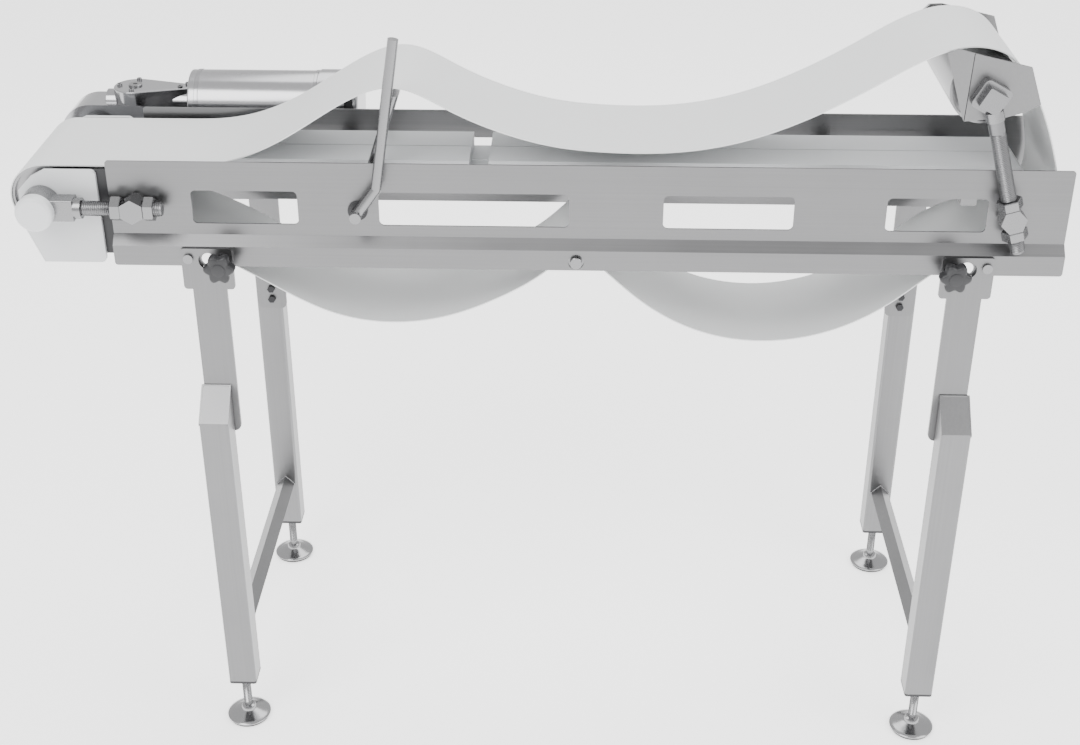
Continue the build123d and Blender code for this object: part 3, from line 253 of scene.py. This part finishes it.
def paint_nodes() -> None:
    """Gives every CAD node its finish."""
    for finish, names in NODE_FINISHES.items():
        for name in names:
            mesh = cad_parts[name].data
            mesh.materials.clear()
            mesh.materials.append(finish.material())


# ---------------------------------------------------------------- mesh building
class Shape:
    """A mesh built up from simple solids, then turned into one object of the scene."""

    def __init__(self) -> None:
        self.bm = bmesh.new()

    def spun(self, base: Point, axis: Point, profile: list[tuple[float, float]], steps: int = 48) -> None:
        """Turns a profile about an axis.

        Args:
            base: Point on the axis that distances are counted from.
            axis: Direction of the axis.
            profile: Distance along the axis and radius, in millimetres, from one end to the other.
            steps: Facets round the axis.
        """
        along = Vector(axis).normalized()
        out = along.orthogonal().normalized()
        origin = Vector(base)
        verts = [self.bm.verts.new(origin + along * (d * MM) + out * (r * MM)) for d, r in profile]
        edges = [self.bm.edges.new(pair) for pair in zip(verts, verts[1:])]
        bmesh.ops.spin(self.bm, geom=verts + edges, cent=origin, axis=along, dvec=(0, 0, 0),
                       angle=2 * math.pi, steps=steps, use_merge=True, use_duplicate=False)

    def block(self, centre: Point, size: Point, bevel: float = 0.0, turn: Matrix | None = None) -> None:
        """Adds a box, with its edges bevelled.

        Args:
            centre: Middle of the box.
            size: Lengths along X, Y and Z, in millimetres.
            bevel: Width of the bevel, in millimetres.
            turn: Rotation about the middle.
        """
        matrix = Matrix.Translation(centre) @ (turn or Matrix.Identity(4))
        matrix = matrix @ Matrix.Diagonal((*[s * MM for s in size], 1.0))
        made = bmesh.ops.create_cube(self.bm, size=1.0, matrix=matrix)
        if bevel:
            edges = list({e for v in made["verts"] for e in v.link_edges})
            bmesh.ops.bevel(self.bm, geom=edges, offset=bevel * MM, offset_type="OFFSET", affect="EDGES",
                            segments=2, profile=0.5, material=-1)

    def thread(self, base: Point, axis: Point, length: float, root: float, crest: float, pitch: float,
               steps: int = 24) -> None:
        """Adds a screw thread's ridge.

        Args:
            base: Start of the thread on its axis.
            axis: Direction of the axis.
            length: Length of the thread, in millimetres.
            root: Radius the ridge stands on, in millimetres.
            crest: Radius of its top, in millimetres.
            pitch: Rise per turn, in millimetres.
            steps: Facets per turn.
        """
        along = Vector(axis).normalized()
        side = along.orthogonal().normalized()
        across = along.cross(side)
        count = int(length / pitch * steps)
        last = None
        for i in range(count + 1):
            angle = 2 * math.pi * i / steps
            out = side * math.cos(angle) + across * math.sin(angle)
            rise = pitch * i / steps
            row = [self.bm.verts.new(Vector(base) + along * ((rise + d) * MM) + out * (r * MM))
                   for d, r in ((-pitch * 0.42, root), (0.0, crest), (pitch * 0.42, root))]
            if last:
                for k in (0, 1, 2):
                    n = (k + 1) % 3
                    self.bm.faces.new((last[k], last[n], row[n], row[k]))
            last = row

    def bead(self, start: Point, end: Point, radius: float) -> None:
        """Adds a weld bead: a row of overlapping ripples.

        Args:
            start: One end of the weld.
            end: Its other end.
            radius: Radius of the bead, in millimetres.
        """
        a, b = Vector(start), Vector(end)
        count = max(2, int((b - a).length / (radius * 0.9 * MM)))
        turn = (b - a).to_track_quat("Z", "Y").to_matrix().to_4x4()
        for i in range(count + 1):
            place = Matrix.Translation(a.lerp(b, i / count)) @ turn
            place = place @ Matrix.Diagonal((1.0, 1.0, 0.7, 1.0))
            bmesh.ops.create_icosphere(self.bm, subdivisions=2, radius=radius * MM, matrix=place)

    def done(self, name: str, finish: Finish, body: str | None, angle: float = 35.0) -> bpy.types.Object:
        """Turns the mesh into an object.

        Args:
            name: Name of the object.
            finish: Its finish.
            body: CAD body it moves with; None for a piece that is placed later.
            angle: Edges sharper than this, in degrees, stay sharp.

        Returns:
            The object.
        """
        bmesh.ops.recalc_face_normals(self.bm, faces=self.bm.faces[:])
        mesh = bpy.data.meshes.new(name)
        self.bm.to_mesh(mesh)
        self.bm.free()
        for polygon in mesh.polygons:
            polygon.use_smooth = True
        mesh.set_sharp_from_angle(angle=math.radians(angle))
        mesh.materials.append(finish.material())
        thing = bpy.data.objects.new(name, mesh)
        bpy.context.scene.collection.objects.link(thing)
        if body:
            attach(thing, body)
        LOG.info("built %s with %d faces", name, len(mesh.polygons))
        return thing


# ---------------------------------------------------------------- belt
def smooth_curve(points: list[tuple[float, float]], gap: float) -> list[tuple[float, float]]:
    """Runs a natural cubic spline through points.

    Args:
        points: Points in order.
        gap: Spacing of the result.

    Returns:
        Points along the curve.
    """
    places = [0.0]
    for a, b in zip(points, points[1:]):
        places.append(places[-1] + math.dist(a, b))
    n = len(points)
    curves = []
    for axis in (0, 1):
        y = [p[axis] for p in points]
        h = [places[i + 1] - places[i] for i in range(n - 1)]
        bend, lower, upper = [0.0] * n, [0.0] * n, [0.0] * n
        for i in range(1, n - 1):
            rhs = 6 * ((y[i + 1] - y[i]) / h[i] - (y[i] - y[i - 1]) / h[i - 1])
            pivot = 2 * (h[i - 1] + h[i]) - h[i - 1] * upper[i - 1]
            upper[i] = h[i] / pivot
            lower[i] = (rhs - h[i - 1] * lower[i - 1]) / pivot
        for i in range(n - 2, 0, -1):
            bend[i] = lower[i] - upper[i] * bend[i + 1]
        curves.append((y, h, bend))

    def value(curve, i: int, t: float) -> float:
        """Value on span i at distance t from its start."""
        y, h, bend = curve
        a, b = (h[i] - t) / h[i], t / h[i]
        return a * y[i] + b * y[i + 1] + ((a**3 - a) * bend[i] + (b**3 - b) * bend[i + 1]) * h[i] ** 2 / 6

    result = []
    for i in range(n - 1):
        span = places[i + 1] - places[i]
        steps = max(2, round(span / gap))
        for k in range(steps):
            result.append((value(curves[0], i, span * k / steps), value(curves[1], i, span * k / steps)))
    result.append(points[-1])
    return result


@dataclass
class Belt:
    """The slack white belt, cut into runs so that each can follow what moves it.

    Args:
        width: Across the belt, in millimetres.
        thickness: Of the belt, in millimetres.
        spacing: Of the mesh along the belt, in millimetres.
        columns: Faces across the belt.
        pulley_x: Place of the head pulley's axis.
        pulley_z: Its height.
        wrap_radius: Outer radius of the belt on that pulley.
        bar_x: Place of the return bar.
        bar_z: Its height.
        bar_radius: Radius that the belt bends to over the bar.
        lift_from_z: Height where the run over the lifter starts.
        lift_until_x: Place where it ends.
        hang_from_x: Place where the run under the tail ends.
    """

    width: float = 220.0
    thickness: float = 2.0
    spacing: float = 7.0
    columns: int = 10
    pulley_x: float = -794.0
    pulley_z: float = 1024.0
    wrap_radius: float = 57.3
    bar_x: float = 68.0
    bar_z: float = 936.0
    bar_radius: float = 10.3
    lift_from_z: float = 1114.0
    lift_until_x: float = 118.0
    hang_from_x: float = 640.0

    def arc(self, x: float, z: float, radius: float, start: float, sweep: float,
            steps: int) -> list[tuple[float, float]]:
        """Points on an arc; angles in degrees."""
        angles = [math.radians(start + sweep * i / steps) for i in range(steps + 1)]
        return [(x + radius * math.cos(a), z + radius * math.sin(a)) for a in angles]

    def upper_run(self) -> list[tuple[float, float]]:
        """Outer face from the head over the lifter and the tail to the return bar."""
        top = self.pulley_z + self.wrap_radius
        crest = 1204.0 + 8.0 + 4.5
        bar = self.arc(self.bar_x, self.bar_z, self.bar_radius, 40, 0, 1)[0]
        return smooth_curve([
            (-590, top), (-540, top + 2), (-470, 1098), (-380, 1142), (-300, 1192), (-220, crest),
            (-140, 1184), (-60, 1148), (30, 1123), (120, 1114), (230, 1116), (330, 1135), (430, 1174),
            (530, 1229), (600, 1270), (662, 1290), (726, 1277), (770, 1225), (806, 1150), (828, 1080),
            (834, 1025), (820, 984), (784, 962), (730, 948), (672, 922), (600, 862), (500, 802),
            (390, 779), (280, 794), (180, 847), (120, 900), bar], self.spacing)

    def lower_run(self) -> list[tuple[float, float]]:
        """Outer face from the return bar back to the head pulley, round it and onto the top."""
        bottom = self.pulley_z - self.wrap_radius
        over = self.arc(self.bar_x, self.bar_z, self.bar_radius, 40, 100, 14)
        hang = smooth_curve([
            over[-1], (10, 896), (-60, 853), (-150, 817), (-244, 805), (-340, 822), (-430, 868),
            (-520, 920), (-600, 953), (-650, bottom - 3), (-700, bottom)], self.spacing)
        wrap = self.arc(self.pulley_x, self.pulley_z, self.wrap_radius, 270, -180, 48)
        flat = [(self.pulley_x + (-590 - self.pulley_x) * i / 20, self.pulley_z + self.wrap_radius)
                for i in range(1, 21)]
        return over[:-1] + hang + [(-750, bottom)] + wrap + flat

    def strip(self, name: str, line: list[tuple[float, float]]) -> bpy.types.Object:
        """One length of belt with both faces and all edges.

        Args:
            name: Name of the piece.
            line: Its outer face in X and Z, running clockwise seen from the front.

        Returns:
            The piece.
        """
        shape = Shape()
        rows = []
        edge = 0.5
        for i, (x, z) in enumerate(line):
            before, after = line[max(i - 1, 0)], line[min(i + 1, len(line) - 1)]
            run = Vector((after[0] - before[0], after[1] - before[1])).normalized()
            inner = (x + run.y * self.thickness, z - run.x * self.thickness)
            half = self.width / 2
            across = [-half, -half + edge] + [
                -half + self.width * k / self.columns for k in range(1, self.columns)] + [half - edge, half]
            row = []
            for (px, pz), order in (((x, z), across), (inner, reversed(across))):
                for y in order:
                    row.append(shape.bm.verts.new((px * MM, BELT_CENTRE_Y + y * MM, pz * MM)))
            rows.append(row)
        count = len(rows[0])
        for a, b in zip(rows, rows[1:]):
            for k in range(count):
                n = (k + 1) % count
                shape.bm.faces.new((a[k], a[n], b[n], b[k]))
        for row in (rows[0], rows[-1]):
            half_count = count // 2
            for k in range(half_count - 1):
                shape.bm.faces.new((row[k], row[k + 1], row[count - 2 - k], row[count - 1 - k]))
        piece = shape.done(name, BELTING, None, angle=50)
        length = sum(math.dist(a, b) for a, b in zip(line, line[1:]))
        return piece

    def build(self) -> None:
        """Builds the four runs; the return and the run over the lifter go with the frame."""
        upper, lower = self.upper_run(), self.lower_run()
        lift_start = next(i for i, p in enumerate(upper) if p[1] > self.lift_from_z)
        lift_end = next(i for i, p in enumerate(upper) if p[0] > self.lift_until_x)
        tip = max(range(len(upper)), key=lambda i: upper[i][0])
        hang_start = next(i for i, p in enumerate(upper) if i > tip and p[0] < self.hang_from_x)
        static = self.strip("belt_return", upper[hang_start:] + lower + upper[1:lift_start + 1])
        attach(static, "frame")
        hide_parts("belt")
        peak = self.strip("belt_over_lifter", upper[lift_start:lift_end + 1])
        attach(peak, "frame")
        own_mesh(peak)
        rise = self.strip("belt_over_tail", upper[lift_end:tip + 1])
        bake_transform(rise)
        curl = self.strip("belt_under_tail", upper[tip:hang_start + 1])
        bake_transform(curl)


# ---------------------------------------------------------------- adjusters
@dataclass
class AdjusterRods:
    """Threaded rods of one end, in place of the plain CAD rods.

    Args:
        node: CAD node they stand for.
        body: CAD body they move with.
        pivot: X and Z of the swivel's axis, in millimetres.
        angle: Direction of the rod from the swivel, in degrees.
        start: Rod's inner end along that direction, in millimetres.
        plain: Where the thread stops.
        end: Rod's outer end.
        offset: Distance of each rod from the belt's centre line.
        radius: Radius of the rods.
        pitch: Rise of the thread per turn.
    """

    node: str
    body: str
    pivot: tuple[float, float]
    angle: float
    start: float
    plain: float
    end: float
    offset: float = 150.0
    radius: float = 12.5
    pitch: float = 3.0

    def build(self) -> None:
        """Builds both rods."""
        shape = Shape()
        along = Vector((math.cos(math.radians(self.angle)), 0, math.sin(math.radians(self.angle))))
        core = self.radius - 1.1
        for side in Side:
            hub = Vector((self.pivot[0] * MM, BELT_CENTRE_Y + side.value * self.offset * MM,
                          self.pivot[1] * MM))
            shape.spun(hub, along, [
                (self.start, 0), (self.start, core - 1), (self.start + 1.5, core), (self.plain - 2, core),
                (self.plain, self.radius), (self.end, self.radius), (self.end, 0)], 40)
            shape.thread(hub + along * ((self.start + 3) * MM), along, self.plain - self.start - 6,
                         core - 0.1, self.radius - 0.02, self.pitch)
        rods = shape.done(f"{self.node}_threaded", ROD, self.body, angle=28)
        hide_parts(self.node)


# ---------------------------------------------------------------- stands
@dataclass
class StarKnob:
    """A six-lobed clamp knob.

    Args:
        end: Name of the stand's end.
        side: Side of the conveyor.
        x: Place of its stud along the conveyor, in millimetres.
        z: Height of its stud.
        inner_y: Distance of its inner face from the middle of the stand.
        hub_radius: Radius of the hub behind the grip.
        hub_length: Length of that hub.
        length: Length of the whole knob.
        lobes: Number of lobes.
    """

    end: str
    side: Side
    x: float
    z: float = 933.0
    inner_y: float = 241.0
    hub_radius: float = 11.0
    hub_length: float = 14.0
    length: float = 34.0
    lobes: int = 6

    def outline(self, scale: float, steps: int = 96) -> list[tuple[float, float]]:
        """Outline of the grip, drawn in by scale millimetres."""
        points = []
        for i in range(steps):
            angle = 2 * math.pi * i / steps
            wave = 0.5 + 0.5 * math.cos(self.lobes * angle)
            radius = 19.4 + 6.0 * wave**0.8 - scale
            points.append((radius * math.cos(angle), radius * math.sin(angle)))
        return points

    def build(self) -> None:
        """Builds the grip and its steel insert, both in the black finish."""
        sign = self.side.value
        spot = Vector((self.x * MM, sign * self.inner_y * MM, self.z * MM))
        shape = Shape()
        levels = [(self.hub_length, 3.0), (self.hub_length + 1.5, 1.0), (self.hub_length + 4, 0.0),
                  (self.length - 5, 0.0), (self.length - 2, 0.9), (self.length - 0.6, 2.6),
                  (self.length, 5.0)]
        rings = []
        for depth, inset in levels:
            rings.append([shape.bm.verts.new(spot + Vector((px * MM, sign * depth * MM, pz * MM)))
                          for px, pz in self.outline(inset)])
        for a, b in zip(rings, rings[1:]):
            for k in range(len(a)):
                n = (k + 1) % len(a)
                shape.bm.faces.new((a[k], a[n], b[n], b[k]))
        for ring in (rings[0], rings[-1]):
            shape.bm.faces.new(ring)
        shape.spun(spot, (0, sign, 0), [
            (0, 5.1), (0, self.hub_radius - 1), (1, self.hub_radius), (self.hub_length + 1, self.hub_radius)])
        shape.spun(spot, (0, sign, 0), [
            (self.length - 1.5, 11), (self.length + 0.8, 11), (self.length + 1.4, 9), (self.length + 1.4, 0)])
        name = f"{self.end}_{self.side.name.lower()}"
        knob = shape.done(f"{name}_star_knob", BLACK, f"{name}_knob", angle=40)
        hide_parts(f"{name}_clamp_knob")


@dataclass
class LevellingFoot:
    """A stainless foot with a threaded spindle and a bonded rubber pad.

    Args:
        end: Name of the stand's end.
        side: Side of the conveyor.
        x: Place along the conveyor, in millimetres.
        y: Distance from the middle of the stand.
        radius: Radius of the disc.
        spindle: Radius of the spindle.
        top: Height of the spindle's top.
    """

    end: str
    side: Side
    x: float
    y: float = 262.0
    radius: float = 40.0
    spindle: float = 8.0
    top: float = 144.0

    def build(self) -> None:
        """Builds the disc, the spindle and the pad."""
        name = f"{self.end}_{self.side.name.lower()}"
        spot = Vector((self.x * MM, self.side.value * self.y * MM, 0))
        body = f"{name}_levelling_foot"
        core = self.spindle - 0.9
        shape = Shape()
        shape.spun(spot, (0, 0, 1), [
            (5.2, self.radius - 3), (5.2, self.radius - 0.6), (6.2, self.radius), (8.0, self.radius),
            (9.4, self.radius - 1.4), (11.0, self.radius - 6), (13.6, self.radius - 14),
            (16.4, 20), (17.6, 15.5), (18.4, 14), (23.0, 13), (24.6, 12), (25.6, 9.5), (26.0, core),
            (self.top - 1, core), (self.top, core - 1), (self.top, 0)])
        shape.thread(spot + Vector((0, 0, 34 * MM)), (0, 0, 1), self.top - 38, core - 0.1,
                     self.spindle - 0.02, 2.0, 20)
        foot = shape.done(f"{name}_foot_turned", BEARING, body, angle=28)
        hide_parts(f"{name}_foot")
        pad = Shape()
        pad.spun(spot, (0, 0, 1), [
            (0, 0), (0, self.radius - 5), (0.6, self.radius - 3), (4.0, self.radius - 1.6),
            (5.2, self.radius - 2.2), (5.2, 0)])
        pad.done(f"{name}_foot_pad", RUBBER, body)


@dataclass
class StandDetail:
    """Weld beads of one stand, round the brace and along the seams of its sloping caps.

    Args:
        end: Name of the stand's end.
        x: Place of its tubes, in millimetres.
        inner_y: Distance of the tubes' inner faces from the middle.
        brace_z: Height of the brace's middle.
        brace_half: Half the brace's diagonal.
        tube_half: Half the tube's width.
        top_z: Height of the sloping cap's high edge.
    """

    end: str
    x: float
    inner_y: float = 237.0
    brace_z: float = 196.0
    brace_half: float = 17.7
    tube_half: float = 25.0
    top_z: float = 703.0

    def build(self) -> None:
        """Builds the brace welds and the seams of the sloping caps."""
        shape = Shape()
        for side in Side:
            face = side.value * (self.inner_y - 0.4) * MM
            half = self.brace_half
            corners = [(half, 0), (0, half), (-half, 0), (0, -half)]
            for (ax, az), (bx, bz) in zip(corners, corners[1:] + corners[:1]):
                shape.bead(((self.x + ax) * MM, face, (self.brace_z + az) * MM),
                           ((self.x + bx) * MM, face, (self.brace_z + bz) * MM), 2.2)
            outer = side.value * (self.inner_y + 2 * self.tube_half - 0.5) * MM
            for dx in (-self.tube_half + 1, self.tube_half - 1):
                shape.bead(((self.x + dx) * MM, side.value * (self.inner_y + 2) * MM, (self.top_z - 3) * MM),
                           ((self.x + dx) * MM, outer, (self.top_z - 51) * MM), 1.3)
        shape.done(f"{self.end}_stand_welds", TURNED, f"{self.end}_stand", angle=60)


# ---------------------------------------------------------------- drive
@dataclass
class Gearmotor:
    """Details of the polished gearmotor: rings, ribs, bosses and socket screws.

    Args:
        y: Its middle across the conveyor, in millimetres.
        axis_z: Height of the motor's axis.
        head_x: Place of the pulley's axis.
        lay_x: Place of the gearbox's second axis.
        worm_end: Place of the three screws round the worm.
        head_z: Height of the pulley's axis.
        cover_z: Height of the top cover's face.
        rear_y: Place of the side cover's face.
        motor_start: Near end of the motor.
        cap_start: Near end of the motor's end cap.
        cap_end: Its far end.
        side_screw_circle: Radius of each ring of side cover screws.
        end_screw_circle: Radius of the ring of three screws round the worm.
    """

    y: float = 126.0
    axis_z: float = 1076.0
    head_x: float = -794.0
    head_z: float = 1024.0
    lay_x: float = -719.0
    worm_end: float = -769.0
    cover_z: float = 1104.0
    rear_y: float = 164.0
    motor_start: float = -607.0
    cap_start: float = -387.0
    cap_end: float = -317.0
    side_screw_circle: float = 49.0
    end_screw_circle: float = 14.5

    def socket_screw(self, shape: Shape, recess: Shape, base: Vector, axis: Point) -> None:
        """Adds a socket head and, on the floor of its recess, a dark disc that is painted shade."""
        shape.spun(base, axis, [(0, 4.5), (3.4, 4.5), (4.0, 3.9), (4.0, 2.3), (2.0, 2.2), (2.0, 0)], 24)
        # Dark disc on the recess floor: painted shade of the socket's hollow.
        recess.spun(base, axis, [(2.1, 2.1), (2.1, 0)], 6)

    def build(self) -> None:
        """Builds every detail of the drive."""
        screws, recess = Shape(), Shape()
        for x, y in ((-747, 0), (-719, -29), (-719, 29), (-637, -9), (-627, 8)):
            self.socket_screw(screws, recess, Vector((x * MM, (self.y + y) * MM, self.cover_z * MM)),
                              (0, 0, 1))
        for x, first in ((self.head_x, 90), (self.lay_x, -90)):
            for i in range(3):
                angle = math.radians(first + 90 * i)
                spot = Vector(((x + self.side_screw_circle * math.cos(angle)) * MM, self.rear_y * MM,
                               (self.head_z + self.side_screw_circle * math.sin(angle)) * MM))
                self.socket_screw(screws, recess, spot, (0, 1, 0))
        for angle in (math.radians(60), math.radians(180), math.radians(300)):
            spot = Vector((self.worm_end * MM,
                           (self.y + self.end_screw_circle * math.cos(angle)) * MM,
                           (self.axis_z + self.end_screw_circle * math.sin(angle)) * MM))
            self.socket_screw(screws, recess, spot, (-1, 0, 0))
        heads = screws.done("gearbox_socket_screws", TURNED, "head_carriage")
        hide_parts("gearbox_screws")
        # The recess discs take the black finish as painted shade.
        recess.done("gearbox_screw_recess_shade", BLACK_STEEL, "head_carriage")
        rings = Shape()
        start = Vector((0, self.y * MM, self.axis_z * MM))
        for x, radius, width in ((self.motor_start + 2, 57.2, 7), (self.cap_start - 9, 57.0, 6)):
            rings.spun(start + Vector((x * MM, 0, 0)), (1, 0, 0), [
                (0, 55.9), (0, radius - 0.6), (0.6, radius), (width - 0.6, radius), (width, radius - 0.6),
                (width, 55.9)], 64)
        rings.done("motor_rings", POLISHED, "head_carriage")
        ribs = Shape()
        ribs.spun(start + Vector(((self.cap_end - 24) * MM, 0, 0)), (1, 0, 0), [
            (0, 58), (0, 59.2), (1, 59.8), (14, 59.8), (15, 59.2), (15, 58)], 64)
        for i in range(36):
            angle = 2 * math.pi * i / 36
            spot = start + Vector(((self.cap_end - 16.5) * MM, math.cos(angle) * 59.6 * MM,
                                   math.sin(angle) * 59.6 * MM))
            turn = Matrix.Rotation(angle, 4, "X")
            ribs.block(spot, (12, 1.6, 2.6), 0.4, turn)
        ribs.done("motor_ribbed_band", BLACK_STEEL, "head_carriage")
        boss = Shape()
        boss.spun(Vector((-719 * MM, self.y * MM, self.cover_z * MM)), (0, 0, 1), [
            (0, 12), (2.5, 12), (3.4, 11), (3.4, 4), (1.2, 3.6), (1.2, 0)], 40)
        boss.done("gearbox_vent_plug", TURNED, "head_carriage")


# ---------------------------------------------------------------- studio
@dataclass
class Studio:
    """Pale floor, soft light and the camera.

    Args:
        eye: Camera's place.
        pitch: Its tilt up from straight down, in degrees.
        yaw: Its turn to the left, in degrees.
        lens: Focal length on a 36 mm wide sensor.
    """

    eye: Point = (0.079, -2.592, 2.042)
    pitch: float = 60.97
    yaw: float = 1.68
    lens: float = 53.55

    def lamp(self, name: str, place: Point, aim: Point, size: float, power: float) -> None:
        """Adds a square soft light aimed at a point."""
        data = bpy.data.lights.new(name, "AREA")
        data.size = size
        data.energy = power
        thing = bpy.data.objects.new(name, data)
        thing.location = place
        thing.rotation_euler = (Vector(aim) - Vector(place)).to_track_quat("-Z", "Y").to_euler()
        bpy.context.scene.collection.objects.link(thing)

    def build(self) -> None:
        """Sets up the stage."""
        mesh = bpy.data.meshes.new("floor")
        floor_bm = bmesh.new()
        bmesh.ops.create_grid(floor_bm, x_segments=1, y_segments=1, size=15)
        floor_bm.to_mesh(mesh)
        floor_bm.free()
        paper = bpy.data.materials.new("floor paper")
        paper.use_nodes = True
        surface = paper.node_tree.nodes["Principled BSDF"].inputs
        surface["Base Color"].default_value = (0.97, 0.97, 0.97, 1)
        surface["Emission Color"].default_value = (1, 1, 1, 1)
        surface["Emission Strength"].default_value = 1.3
        surface["Roughness"].default_value = 0.9
        mesh.materials.append(paper)
        floor = bpy.data.objects.new("floor", mesh)
        bpy.context.scene.collection.objects.link(floor)
        world = bpy.data.worlds.new("studio")
        world.use_nodes = True
        world.node_tree.nodes["Background"].inputs["Color"].default_value = (1, 1, 1, 1)
        world.node_tree.nodes["Background"].inputs["Strength"].default_value = 1.25
        bpy.context.scene.world = world
        self.lamp("key", (-1.8, -2.6, 3.6), (0, 0, 0.9), 2.4, 120)
        self.lamp("fill", (2.6, -1.6, 2.4), (0, 0, 0.9), 2.0, 50)
        self.lamp("top", (0.2, 1.4, 3.6), (0, 0, 1.0), 2.5, 70)
        data = bpy.data.cameras.new("camera")
        data.lens = self.lens
        data.sensor_width = 36.0
        camera = bpy.data.objects.new("camera", data)
        camera.location = self.eye
        camera.rotation_euler = (math.radians(self.pitch), 0, math.radians(self.yaw))
        bpy.context.scene.collection.objects.link(camera)
        bpy.context.scene.camera = camera


def main() -> None:
    """Builds the whole scene."""
    logging.basicConfig(level=logging.WARNING)
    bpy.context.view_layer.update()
    paint_nodes()
    Belt().build()
    AdjusterRods("head_rods", "head_carriage", (-641, 1024), 180, -47, 85, 100).build()
    AdjusterRods("tail_rods", "tail_carriage", (755, 1024), 106.5, -59, 150, 178).build()
    Gearmotor().build()
    for end, sign in (("left", -1), ("right", 1)):
        x = 83 + sign * 622
        StandDetail(end, x).build()
        for side in Side:
            StarKnob(end, side, x - sign * 33).build()
            LevellingFoot(end, side, x).build()
    Studio().build()


if __name__ == "__main__":
    main()
